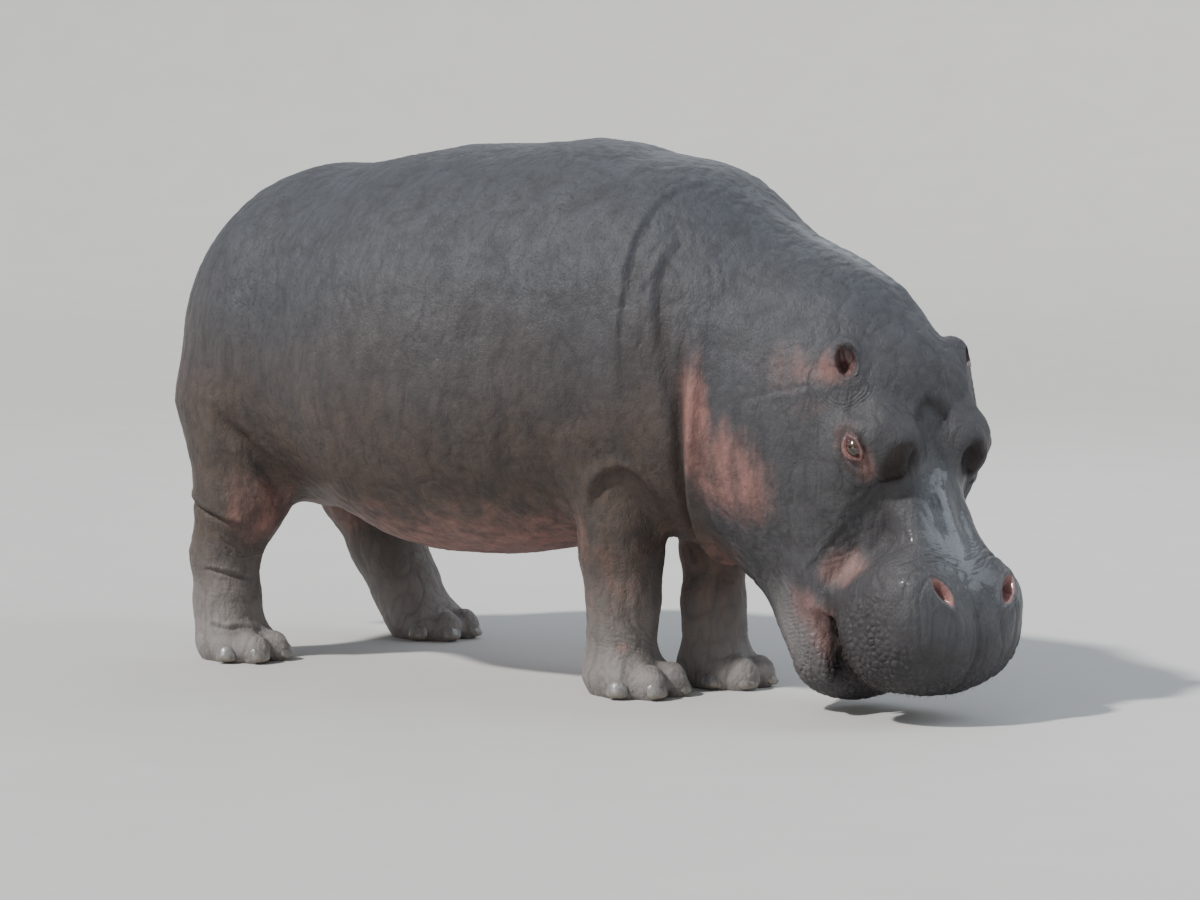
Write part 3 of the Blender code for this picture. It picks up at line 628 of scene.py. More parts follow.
def settle(field, points):
    """The points moved onto the surface, and the outward direction there."""
    for _ in range(SETTLE_ROUNDS):
        value = field(points)
        ahead = [field(points + SETTLE_STEP * axis) for axis in np.eye(3)]
        slope = (np.stack(ahead, axis=1) - value[:, None]) / SETTLE_STEP
        points = points - slope * (value / np.maximum((slope**2).sum(axis=1), 1e-6))[:, None]
    return points, unit_rows(slope)


def seat_of(near, slit):
    """The place on the head next to near, and a frame with columns along the slit, across it and outwards."""
    place, out = settle(lambda q: body_field(q @ HEAD.T + HEAD_AT), np.array([near]))
    along = unit(np.asarray(slit) - out[0] * np.dot(out[0], slit))
    return place[0], np.stack([along, np.cross(out[0], along), out[0]], axis=1)


EYE_ON, EYE = seat_of(EYE_NEAR, EYE_SLIT)
EYE_AT = EYE_ON - EYE_DEPTH * EYE[:, 2]
NOSTRIL_AT, NOSTRIL = seat_of(NOSTRIL_NEAR, NOSTRIL_SLIT)


def lid_reach(eye):
    """How far out a point of the eye's frame is: 1 at the groove round the lids, which lie askew."""
    return oval(eye[:, 0] - 0.013, eye[:, 1] - 0.004 - 0.12 * eye[:, 0], LID_SPAN)


def eye_push(q):
    """Lids that lie on the eyeball, open in the middle, with a groove round them and a bag below."""
    local = (q - EYE_AT) @ EYE
    reach = np.maximum(np.linalg.norm(local, axis=1), 1e-6)
    almond = 1.0 - 0.42 * smoothstep(np.abs(local[:, 0]) / EYE_OPENING[0], 0.25, 1.10)
    ring = oval(local[:, 0], local[:, 1], (EYE_OPENING[0], EYE_OPENING[1] * almond))
    wide = lid_reach(local)
    front = smoothstep(local[:, 2], -0.004, 0.006) * (reach < 0.12)
    open_part = 1.0 - smoothstep(ring, 0.86, 1.10)
    below = smoothstep(local[:, 1], -0.008, 0.012)
    ahead = smoothstep(local[:, 0], -0.020, 0.040)
    lid = LID_RADIUS + (LID_ROLL - 0.0026 * below) * bell(ring, 1.26, 0.26)
    target = lid + (SOCKET_RADIUS - lid) * open_part
    push = (target - reach) * (1.0 - smoothstep(wide, 0.62, 1.00))
    groove = (LID_GROOVE - 0.0030 * below) * bell(wide, 0.96, 0.11)
    push -= groove * (0.55 + 0.45 * np.maximum(ahead, below))
    push += BAG_ROLL * bell(wide, 1.22, 0.15) * below
    push -= BAG_GROOVE * bell(wide, 1.45, 0.11) * below * ahead
    return ((push * front / reach)[:, None] * local) @ EYE.T


def ear_push(q):
    """The cup's bowl, pressed into its front, with ridges inside."""
    local = ear_points(q)
    reach = ear_reach(local)
    front = smoothstep(local[:, 2], -0.003, 0.005)
    bowl = np.maximum(0.0, 1.0 - (reach / 0.86) ** 2) ** 0.55
    hole = bell(local[:, 0], -0.020, 0.016) * bell(local[:, 1], -0.006, 0.012)
    ridges = np.sin(local[:, 1] / 0.0040) * smoothstep(local[:, 0], -0.015, 0.015)
    push = CUP_RIDGE * ridges * bowl - CUP_DEPTH * bowl - EAR_HOLE_DEPTH * hole
    push += EAR_RIM * bell(reach, 0.97, 0.09)
    near = (np.abs(local) < np.array([0.07, 0.055, 0.045])).all(axis=1)
    return (push * front * near)[:, None] * EAR[:, 2]


def nostril_push(q):
    """A leaf-shaped hole with a swollen rim."""
    local = (q - NOSTRIL_AT) @ NOSTRIL
    near = 1.0 - smoothstep(np.linalg.norm(local, axis=1), 0.075, 0.100)
    leaf = 1.0 - 0.30 * smoothstep(np.abs(local[:, 0]) / NOSTRIL_SIZE[0], 0.2, 1.2)
    ring = oval(local[:, 0], local[:, 1], (NOSTRIL_SIZE[0], NOSTRIL_SIZE[1] * leaf))
    push = NOSTRIL_RIM * bell(ring, 1.45, 0.45) - NOSTRIL_DEPTH * (1.0 - smoothstep(ring, 0.10, 1.05))
    return (push * near)[:, None] * NOSTRIL[:, 2]


def pressed(points):
    """The points with eye sockets, ear cups and nostrils pressed in on both sides of the head."""
    q = in_head(points)
    side = np.where(q[:, 1] < 0.0, -1.0, 1.0)
    half = mirrored(q)
    near = (half[:, 0] > -0.20) & (half[:, 2] > -0.30)
    offset = np.zeros_like(q)
    for push in (eye_push, ear_push, nostril_push):
        offset[near] += push(half[near])
    offset[:, 1] *= side
    return points + offset @ HEAD.T


# ---------------------------------------------------------------- folds
# Each fold: its frame, width, depth, the swelling beside it, the side that swells, and its path.
# Folds of the head's frame are mirrored, and so are those marked both.
FOLDS = (
    # behind the shoulder
    ("both", 0.012, 0.0055, 0.006, (-1, 0, 0), (
        (0.76, -0.41, 0.78), (0.75, -0.42, 0.91), (0.745, -0.39, 1.06), (0.74, -0.33, 1.18),
        (0.755, -0.23, 1.28), (0.8, -0.08, 1.32),
    )),
    # before the shoulder
    ("both", 0.017, 0.01, 0.008, (-1, 0, 0), (
        (0.875, -0.36, 0.7), (0.862, -0.38, 0.86), (0.84, -0.377, 0.985), (0.82, -0.35, 1.085),
        (0.83, -0.28, 1.18),
    )),
    # a fine fold between those two
    ("both", 0.009, 0.003, 0.002, (-1, 0, 0), (
        (0.8, -0.39, 0.9), (0.792, -0.39, 1.0), (0.785, -0.35, 1.12), (0.8, -0.27, 1.22),
    )),
    # arch over the right elbow
    ("once", 0.016, 0.01, 0.01, (0, 0, 1), (
        (0.575, -0.335, 0.45), (0.594, -0.344, 0.493), (0.625, -0.352, 0.547), (0.669, -0.35, 0.585),
        (0.711, -0.332, 0.581), (0.733, -0.303, 0.549), (0.735, -0.253, 0.48),
    )),
    # arch over the left elbow
    ("once", 0.016, 0.012, 0.014, (0, 0, 1), (
        (0.6, 0.3, 0.47), (0.65, 0.33, 0.55), (0.7, 0.31, 0.57), (0.75, 0.25, 0.52),
    )),
    # round the throat
    ("once", 0.02, 0.024, 0.028, (1, 0, 0), (
        (0.905, -0.36, 1.0), (0.9, -0.372, 0.88), (0.884, -0.362, 0.733), (0.85, -0.305, 0.576),
        (0.805, -0.187, 0.436), (0.785, -0.04, 0.375), (0.8, 0.12, 0.436), (0.85, 0.25, 0.576),
        (0.89, 0.31, 0.733), (0.91, 0.33, 0.88), (0.91, 0.32, 1.0),
    )),
    # before the thigh
    ("both", 0.022, 0.013, 0.012, (-1, 0, 0), (
        (-0.6, -0.46, 0.72), (-0.577, -0.445, 0.655), (-0.529, -0.414, 0.601), (-0.507, -0.363, 0.531),
        (-0.519, -0.29, 0.454),
    )),
    # right hock
    ("once", 0.008, 0.011, 0.008, (0, 0, 1), (
        (-0.8, -0.33, 0.46), (-0.77, -0.39, 0.445), (-0.7, -0.43, 0.42), (-0.645, -0.426, 0.402),
        (-0.594, -0.397, 0.381), (-0.555, -0.34, 0.372),
    )),
    # right hind shank
    ("once", 0.006, 0.007, 0.004, (0, 0, 1), (
        (-0.7, -0.405, 0.255), (-0.662, -0.401, 0.248), (-0.626, -0.364, 0.236), (-0.615, -0.299, 0.22),
    )),
    # right hind ankle
    ("once", 0.007, 0.007, 0.004, (0, 0, 1), (
        (-0.68, -0.41, 0.1), (-0.627, -0.405, 0.092), (-0.603, -0.378, 0.094), (-0.576, -0.32, 0.078),
    )),
    # left hock
    ("once", 0.009, 0.01, 0.008, (0, 0, 1), (
        (-0.86, 0.33, 0.44), (-0.8, 0.42, 0.42), (-0.7, 0.45, 0.37), (-0.62, 0.4, 0.34),
    )),
    # along the nape
    ("once", 0.026, 0.006, 0.003, (0, 1, 0), (
        (0.9, 0.0, 1.27), (0.95, 0.03, 1.22), (1.13, 0.03, 1.11), (1.26, 0.02, 1.01), (1.35, 0.0, 0.94),
    )),
    # back of the cheek, up to the ear
    ("head", 0.008, 0.0018, 0.001, (1, 0, 0), (
        (-0.03, 0.328, -0.234), (-0.018, 0.293, -0.159), (-0.004, 0.258, -0.105),
        (0.014, 0.205, -0.036),
    )),
    # inner edge of the brow
    ("head", 0.018, 0.011, 0.005, (0, 1, 0), (
        (0.088, 0.0, 0.035), (0.118, 0.028, 0.03), (0.16, 0.066, 0.03),
    )),
    # front of the brow
    ("head", 0.012, 0.007, 0.003, (-1, 0, 0), (
        (0.25, 0.15, -0.05), (0.268, 0.12, -0.01), (0.266, 0.085, 0.01),
    )),
    # from the brow down to the mouth's corner
    ("head", 0.016, 0.004, 0.003, (1, 0, 0), (
        (0.262, 0.13, -0.04), (0.3, 0.135, -0.08), (0.35, 0.145, -0.12), (0.4, 0.158, -0.165),
        (0.435, 0.17, -0.22), (0.452, 0.185, -0.28), (0.47, 0.19, -0.33),
    )),
    # on the cheek beside it
    ("head", 0.008, 0.0022, 0.002, (-1, 0, 0), (
        (0.33, 0.175, -0.15), (0.37, 0.19, -0.22), (0.4, 0.195, -0.29), (0.43, 0.2, -0.35),
    )),
    # across the snout behind the nostrils
    ("head", 0.006, 0.0035, 0.003, (1, 0, 0), (
        (0.52, 0.18, -0.05), (0.5, 0.14, 0.0), (0.505, 0.09, 0.02), (0.53, 0.045, 0.02),
        (0.545, 0.0, 0.01),
    )),
    # a fine fold behind that
    ("head", 0.005, 0.0022, 0.002, (1, 0, 0), (
        (0.485, 0.15, 0.0), (0.478, 0.1, 0.02), (0.5, 0.05, 0.02), (0.515, 0.0, 0.01),
    )),
    # down the middle of the muzzle
    ("head", 0.01, 0.0035, 0.0, (0, 1, 0), (
        (0.64, 0.0, 0.01), (0.72, 0.0, -0.04), (0.77, 0.0, -0.12), (0.77, 0.0, -0.2),
    )),
    # under the mouth's corner
    ("head", 0.005, 0.006, 0.003, (0, 0, 1), (
        (0.355, 0.19, -0.405), (0.39, 0.2, -0.405), (0.425, 0.19, -0.39),
    )),
)
PATH_STEPS = 8


def smooth_path(knots):
    """Points along a smooth curve through the knots."""
    knots = np.asarray(knots, float)
    ends = np.vstack([2 * knots[0] - knots[1], knots, 2 * knots[-1] - knots[-2]])
    made = []
    for a, b, c, d in zip(ends[:-3], ends[1:-2], ends[2:-1], ends[3:]):
        for t in np.arange(PATH_STEPS) / PATH_STEPS:
            square, cube = 2 * a - 5 * b + 4 * c - d, 3 * b - a - 3 * c + d
            made.append(0.5 * (2 * b + (c - a) * t + square * t**2 + cube * t**3))
    return np.array(made + [knots[-1]])


def beside_path(points, path):
    """Each point's distance from the path, the vector from it, and the share of the path there."""
    best = np.full(len(points), np.inf)
    away = np.zeros_like(points)
    share = np.zeros(len(points))
    for i, (start, end) in enumerate(zip(path[:-1], path[1:])):
        run = end - start
        t = np.clip((points - start) @ run / (run @ run), 0.0, 1.0)
        offset = points - start - t[:, None] * run
        reach = np.linalg.norm(offset, axis=1)
        closer = reach < best
        best[closer], away[closer] = reach[closer], offset[closer]
        share[closer] = (i + t[closer]) / (len(path) - 1)
    return best, away, share


def fold_paths():
    """Every fold as (path on the surface, width, depth, swelling, side)."""
    for kind, width, depth, swell, side, knots in FOLDS:
        for sign in (1.0,) if kind == "once" else (1.0, -1.0):
            mirror = np.array([1.0, sign, 1.0])
            path, swollen = smooth_path(knots) * mirror, np.asarray(side, float) * mirror
            if kind == "head":
                path, swollen = path @ HEAD.T + HEAD_AT, HEAD @ swollen
            yield settle(body_field, path)[0], width, depth, swell, swollen


def fold_heights(points, paths):
    """How far each point sinks into a fold, or swells beside it."""
    height = np.zeros(len(points))
    for path, width, depth, swell, side in paths:
        reach = 5.0 * width
        near = ((points > path.min(axis=0) - reach) & (points < path.max(axis=0) + reach)).all(axis=1)
        if not near.any():
            continue
        distance, away, share = beside_path(points[near], path)
        ends = np.sin(np.pi * np.clip(share, 0.0, 1.0)) ** 0.6
        across = distance * np.sign(away @ side)
        bank = swell * bell(across, 1.7 * width, 1.2 * width)
        height[near] += ends * (bank - depth * bell(distance, 0.0, width))
    return height


# ---------------------------------------------------------------- wrinkles
# Fine ridges: middle and reach of the patch, direction from ridge to ridge, spacing and height. The
# first table is in the sculpture's space and the second in the mirrored head's frame.
WRINKLES_ON_BODY = (
    ((0.590, -0.212, 0.145), (0.15, 0.15, 0.065), (0.10, 0.15, 1.0), 0.0115, 0.0020),  # right wrist
    ((0.680, 0.075, 0.145), (0.15, 0.15, 0.065), (0.10, -0.15, 1.0), 0.0115, 0.0018),  # left wrist
    ((0.560, -0.260, 0.400), (0.10, 0.10, 0.12), (0.75, 0.0, 0.65), 0.0125, 0.0024),  # right elbow
    ((-0.640, -0.340, 0.320), (0.12, 0.14, 0.075), (0.15, 0.10, 1.0), 0.0120, 0.0022),  # right hock
    ((-0.690, -0.320, 0.200), (0.15, 0.15, 0.090), (0.20, 0.0, 1.0), 0.0160, 0.0008),  # right hind shank
    ((-0.650, 0.360, 0.230), (0.15, 0.15, 0.100), (0.50, 0.0, 0.8), 0.0130, 0.0018),  # left hind shank
    ((-0.560, -0.400, 0.500), (0.14, 0.14, 0.100), (0.60, 0.0, 0.8), 0.0170, 0.0012),  # right thigh
    ((0.660, 0.120, 0.400), (0.10, 0.12, 0.100), (0.60, 0.0, 0.7), 0.0130, 0.0016),  # left elbow
    ((0.830, -0.360, 0.950), (0.12, 0.20, 0.300), (1.0, -0.2, 0.1), 0.0190, 0.0010),  # right shoulder
    ((0.830, 0.360, 0.950), (0.12, 0.20, 0.300), (1.0, 0.2, 0.1), 0.0190, 0.0010),  # left shoulder
    ((0.100, 0.0, 0.450), (0.60, 0.70, 0.200), (0.15, 0.0, 1.0), 0.0220, 0.0008),  # belly
)
WRINKLES_ON_HEAD = (
    ((0.520, 0.160, -0.420), (0.170, 0.09, 0.090), (1.0, 0.0, -0.3), 0.0100, 0.0022),  # lower lip
    ((0.370, 0.170, -0.230), (0.080, 0.08, 0.110), (0.8, 0.5, 0.4), 0.0075, 0.0012),  # before the cheek
    ((0.120, 0.300, -0.330), (0.220, 0.20, 0.200), (0.9, 0.0, 0.5), 0.0160, 0.0007),  # back of the cheek
    ((0.490, 0.120, 0.0), (0.060, 0.14, 0.080), (1.0, 0.25, 0.2), 0.0120, 0.0010),  # behind the nostrils
    ((0.300, 0.180, -0.120), (0.120, 0.07, 0.090), (0.5, 0.2, 0.9), 0.0130, 0.0009),  # under the eye
)
# Layers of noise, each an amount, a size and a seed: how far the ridges wander and how they fade,
# slow muscle and fine grain under the hide, and how the creases bend.
WANDER = ((0.90, 0.060, 11), (0.45, 0.021, 12))
FADE = ((0.45, 0.035, 13),)
MUSCLE = ((0.0050, 0.30, 1), (0.0030, (0.07, 0.10, 0.16), 2), (0.0006, 0.012, 4))
BEND = ((0.012, 0.05, 6),)
# Rings in the hide round the ear: radius, width of the band, spacing and height.
EAR_RINGS = (0.060, 0.022, 0.0090, 0.0013)
# Where the relief is calmer: middle and reach in the head's frame, and by how much.
CALM_PATCHES = (
    ((0.420, 0.0, 0.000), (0.260, 0.150, 0.100), 0.70),  # snout
    ((0.190, 0.130, 0.000), (0.110, 0.110, 0.110), 0.50),  # brow
)
# Creases of the hide: size of the noise, where its ridge ends, seed, height and strength of the mark.
BROAD_CREASE = ((0.034, 0.050, 0.120), 0.34, 3, 0.0019, 1.0)
THIN_CREASE = ((0.017, 0.024, 0.050), 0.40, 5, 0.0012, 0.7)
PEBBLE_SIZE, PEBBLE_HEIGHT = (0.019, 0.019, 0.016), 0.0046


def wrinkle_heights(points):
    """Ridges whose lines wander and fade in and out."""
    wander, fade = layered_noise(points, WANDER), 0.55 + layered_noise(points, FADE)
    side = mirrored(in_head(points))
    height = np.zeros(len(points))
    rows = [(points, row) for row in WRINKLES_ON_BODY] + [(side, row) for row in WRINKLES_ON_HEAD]
    for place, (centre, radii, direction, spacing, size) in rows:
        away = (place - np.array(centre)) / np.array(radii)
        share = 1.0 - smoothstep(np.linalg.norm(away, axis=1), 0.45, 1.0)
        near = share > 0.0
        phase = place[near] @ unit(direction) / spacing + wander[near]
        ridge = 1.0 - 2.0 * np.abs(np.sin(np.pi * phase)) ** 0.7
        height[near] -= size * share[near] * fade[near] * ridge
    radius, band, spacing, size = EAR_RINGS
    away = side - EAR_AT - np.array([0.030, 0.020, 0.0])
    reach = np.linalg.norm(away, axis=1)
    share = bell(reach, radius, band) * smoothstep(away @ unit((0.8, 0.1, -0.2)), -0.01, 0.03)
    ridge = 1.0 - 2.0 * np.abs(np.sin(np.pi * (reach / spacing + 0.7 * wander)))
    return height - size * share * fade * ridge


def relief(points):
    """Unevenness of the hide everywhere, and how deep in a crease each point lies, which darkens the hide as
    painted shade.

    It adds slow muscle, fine upright creases all over and pebbles on the muzzle and chin.
    """
    height = layered_noise(points, MUSCLE)
    bend = points + layered_noise(points, BEND)[:, None]
    crease = np.zeros(len(points))
    for size, limit, seed, rise, strength in (BROAD_CREASE, THIN_CREASE):
        ridge = np.minimum(np.abs(noise(bend, size, seed)), limit) / limit
        height += rise * ridge
        crease = np.maximum(crease, strength * (1.0 - ridge) ** 2)
    q = mirrored(in_head(points))
    calm = 1.0 - sum(share * patch(q, centre, radii) for centre, radii, share in CALM_PATCHES)
    height, crease = height * calm, crease * calm
    muzzle = smoothstep(q[:, 0], 0.50, 0.60) * smoothstep(-q[:, 2], 0.02, 0.14) * (q[:, 2] > -0.33)
    chin = smoothstep(q[:, 0], 0.46, 0.60) * (q[:, 2] < -0.36)
    bumpy = muzzle + 0.7 * chin
    near = bumpy > 0.0
    bump = pebbles(points[near], PEBBLE_SIZE, 21)
    height[near] += PEBBLE_HEIGHT * bumpy[near] * (bump - 0.5)
    # painted shade in the gaps between the pebbles
    crease[near] = np.maximum(crease[near], bumpy[near] * (1.0 - bump))
    return height, crease


# ---------------------------------------------------------------- the skin as a mesh
# The head and feet get a finer mesh: the head past HEAD_FROM along x and past HEAD_BACK and
# HEAD_DEPTH in its own frame, and the feet below ANKLE.
HEAD_FROM, HEAD_BACK, HEAD_DEPTH, ANKLE = 0.95, -0.12, -0.62, 0.30
# Spans round the eye, ear and nostril that are made finer, and then finer still.
DETAIL_SPANS = ((0.085, 0.110, 0.090), (0.050, 0.080, 0.055))


def touched(points, faces, chosen):
    """Which faces have a corner among the chosen points."""
    return chosen(points)[faces].any(axis=1)


def on_head_or_feet(points):
    """Which points get the finer mesh."""
    q = in_head(points)
    head = (q[:, 0] > HEAD_BACK) & (q[:, 2] > HEAD_DEPTH) & (points[:, 0] > HEAD_FROM)
    return head | (points[:, 2] < ANKLE)


def near_details(spans):
    """A choice of the points that lie within the spans of an eye, an ear and a nostril."""

    def chosen(points):
        q = mirrored(in_head(points))
        near = np.zeros(len(points), bool)
        for place, span in zip((EYE_AT, EAR_AT, NOSTRIL_AT), spans):
            near |= np.linalg.norm(q - place, axis=1) < span
        return near

    return chosen


def build_skin():
    """Points before and after folding, faces, outward directions, and marks of folds and creases."""
    points, quads = surface_nets(sample_field(), SCULPT_LOW, FINE)
    faces = triangles_of(points, quads)
    points, faces = refine_on_field(points, faces, np.ones(len(faces), bool))
    choices = [on_head_or_feet] + [near_details(spans) for spans in DETAIL_SPANS]
    for chosen in choices:
        points, faces = refine_on_field(points, faces, touched(points, faces, chosen))
    base = points
    points = pressed(points)
    directions = corner_normals(points, faces)
    folds = fold_heights(base, list(fold_paths()))
    wrinkles = wrinkle_heights(base)
    uneven, crease = relief(base)
    # The crease mask darkens the hide as painted shade in the valleys of creases and wrinkles.
    crease = np.maximum(0.6 * crease, smoothstep(-wrinkles, 0.0002, 0.0018))
    points = points + (folds + wrinkles + uneven)[:, None] * directions
    points[:, 2] = np.maximum(points[:, 2], 0.0)
    return base, points, faces, directions, {"fold": folds, "crease": crease}


# Parts of the unwrap, as two corners and a scale: the first box that holds a face takes it. The
# trunk takes what is left, and the inside of the mouth is a part of its own.
UNWRAP_BOXES = (
    ((0.30, -0.60, -0.20), (0.92, -0.07, 0.46), 1.6),  # right foreleg
    ((0.30, -0.07, -0.20), (0.92, 0.60, 0.46), 1.6),  # left foreleg
    ((-1.20, -0.80, -0.20), (-0.30, 0.00, 0.46), 1.4),  # right hind leg
    ((-1.20, 0.00, -0.20), (-0.30, 0.80, 0.46), 1.4),  # left hind leg
    ((-1.30, -0.12, 0.46), (-0.98, 0.12, 1.05), 1.6),  # tail
    ((1.05, -0.80, -0.20), (2.20, 0.80, 1.30), 2.2),  # head
)
TRUNK_SCALE, MOUTH_SCALE = 1.0, 1.6
SIDES, UNWRAP_MARGIN, UNWRAP_SLACK = 6, 0.012, 1.08


def unwrap(points, faces, directions):
    """Texture coordinates of each face's corners: each part seen from six sides, packed in rows."""
    middle = points[faces].mean(axis=1)
    facing = directions[faces].sum(axis=1)
    part = np.full(len(faces), len(UNWRAP_BOXES))
    for i, (low, high, _) in reversed(list(enumerate(UNWRAP_BOXES))):
        part[((middle > low) & (middle < high)).all(axis=1)] = i
    q = mirrored(in_head(middle)) - (0.42, 0.16, MOUTH_HOLLOW[0][2])
    mouth = (q[:, 0] > 0.0) & (q[:, 1] < 0.0) & (np.abs(q[:, 2]) < 0.055)
    part[mouth & (part == len(UNWRAP_BOXES) - 1)] = len(UNWRAP_BOXES) + 1
    scales = [scale for _, _, scale in UNWRAP_BOXES] + [TRUNK_SCALE, MOUTH_SCALE]
    axis = np.abs(facing).argmax(axis=1)
    chart = part * SIDES + axis * 2 + (facing[np.arange(len(faces)), axis] > 0)
    sheets = []
    for number in np.unique(chart):
        chosen = chart == number
        kept = [i for i in range(3) if i != (number % SIDES) // 2]
        flat = points[faces[chosen]][:, :, kept] * scales[number // SIDES]
        flat -= flat.min(axis=(0, 1))
        sheets.append((flat.max(axis=(0, 1)), flat, chosen))
    sheets.sort(key=lambda sheet: -sheet[0][1])
    area = sum((size + UNWRAP_MARGIN).prod() for size, _, _ in sheets)
    room = UNWRAP_SLACK * math.sqrt(area)
    uv = np.zeros((len(faces), 3, 2))
    x = y = tallest = 0.0
    for size, flat, chosen in sheets:
        if x + size[0] > room:
            x, y, tallest = 0.0, y + tallest, 0.0
        uv[chosen] = flat + (x, y)
        x += size[0] + UNWRAP_MARGIN
        tallest = max(tallest, size[1] + UNWRAP_MARGIN)
    return uv / uv.max()


# Patches where the hide is pink: middle, reach and strength, in the sculpture's space.
PINK_ON_BODY = (
    ((0.925, -0.360, 0.680), (0.070, 0.12, 0.340), 0.95),  # band before the right shoulder
    ((0.925, 0.360, 0.680), (0.070, 0.12, 0.340), 0.80),  # and before the left one
    ((1.020, -0.310, 0.600), (0.190, 0.16, 0.200), 0.80),  # right of the throat
    ((1.020, 0.260, 0.600), (0.190, 0.16, 0.200), 0.60),  # left of the throat
    ((0.900, 0.000, 0.400), (0.300, 0.30, 0.160), 0.75),  # chest
    ((1.180, -0.275, 0.872), (0.165, 0.15, 0.115), 0.40),  # behind the right ear
    ((1.180, 0.180, 0.872), (0.165, 0.15, 0.115), 0.50),  # behind the left ear
    ((0.080, 0.000, 0.340), (0.900, 0.72, 0.320), 1.00),  # belly
    ((-0.560, -0.330, 0.420), (0.170, 0.17, 0.180), 0.70),  # groin
    ((-0.720, 0.180, 0.450), (0.280, 0.18, 0.280), 0.75),  # inside of the left thigh
    ((-0.680, -0.150, 0.450), (0.280, 0.14, 0.280), 0.75),  # inside of the right thigh
    ((0.620, -0.080, 0.420), (0.160, 0.12, 0.180), 0.50),  # inside of the right foreleg
    ((0.560, -0.300, 0.450), (0.120, 0.10, 0.130), 0.35),  # right elbow
    ((0.640, -0.280, 0.130), (0.030, 0.03, 0.030), 0.60),  # a spot on the right wrist
)
# The same in the mirrored head's frame, and where the hide is pale there. Then where it is darkened: painted
# shade beside the brow and under the muzzle, and a darker tone over the muzzle, crown and snout.
PINK_ON_HEAD = (
    ((0.435, 0.210, -0.185), (0.075, 0.09, 0.130), 0.95),  # cheek above the mouth
    ((0.460, 0.180, -0.350), (0.090, 0.09, 0.080), 0.75),  # behind the mouth's corner
    ((0.580, 0.190, -0.340), (0.160, 0.06, 0.035), 0.90),  # edge of the lips
    ((-0.020, 0.185, -0.010), (0.085, 0.080, 0.085), 0.75),  # round the ear
    ((0.560, 0.000, -0.330), (0.240, 0.185, 0.055), 1.00),  # inside of the mouth
    ((0.060, 0.250, -0.090), (0.070, 0.08, 0.080), 0.40),  # temple
)
PALE_PATCHES = (
    ((0.520, 0.190, -0.440), (0.180, 0.110, 0.120), 0.58),  # lower lip
    ((0.435, 0.210, -0.185), (0.060, 0.080, 0.100), 0.75),  # cheek above the mouth
    ((0.560, 0.205, -0.325), (0.105, 0.085, 0.065), 0.85),  # flesh in the mouth's corner
)
SHADE_AND_DARK_PATCHES = (
    # painted shade on the inner side of the brow
    ((0.250, 0.128, 0.030), (0.064, 0.062, 0.095), 2.20),  # inner side of the brow
    # painted shade under the muzzle
    ((0.660, 0.110, -0.285), (0.240, 0.240, 0.140), 1.15),  # under the muzzle
    ((0.640, 0.120, -0.150), (0.260, 0.300, 0.260), 0.38),  # muzzle
    ((0.250, 0.000, 0.000), (0.420, 0.340, 0.320), 0.30),  # crown and snout
)
MOUTH_INSIDE = ((0.560, 0.0, -0.330), (0.230, 0.200, 0.055))
MOUTH_CORNER_FLESH = ((0.560, 0.205, -0.325), (0.110, 0.085, 0.065))
# Where the hide is wet and glossy, which also gives it a painted bluish sheen. The head's patches give
# middle, reach and strength in the mirrored head's frame. The nape's patch gives middle and reach in the
# sculpture's space.
WET_AND_SHEEN_ON_HEAD = (
    ((0.400, 0.0, 0.010), (0.360, 0.150, 0.070), 1.0),  # snout
    ((0.620, 0.080, -0.020), (0.130, 0.160, 0.110), 0.8),  # round the nostrils
)
WET_AND_SHEEN_ON_NAPE = ((1.080, 0.030, 1.130), (0.300, 0.060, 0.220))
# Added to how far out a point is when it lies too deep to belong to the eye or the nostril.
ELSEWHERE = 9.0


def patch(points, centre, radii):
    """1 in the middle of a patch and 0 a little past its reach."""
    away = (points - np.array(centre)) / np.array(radii)
    return 1.0 - smoothstep(np.linalg.norm(away, axis=1), 0.15, 1.10)


def strongest(points, patches):
    """The strongest of the patches at each point."""
    return np.maximum.reduce([strength * patch(points, *place) for *place, strength in patches])


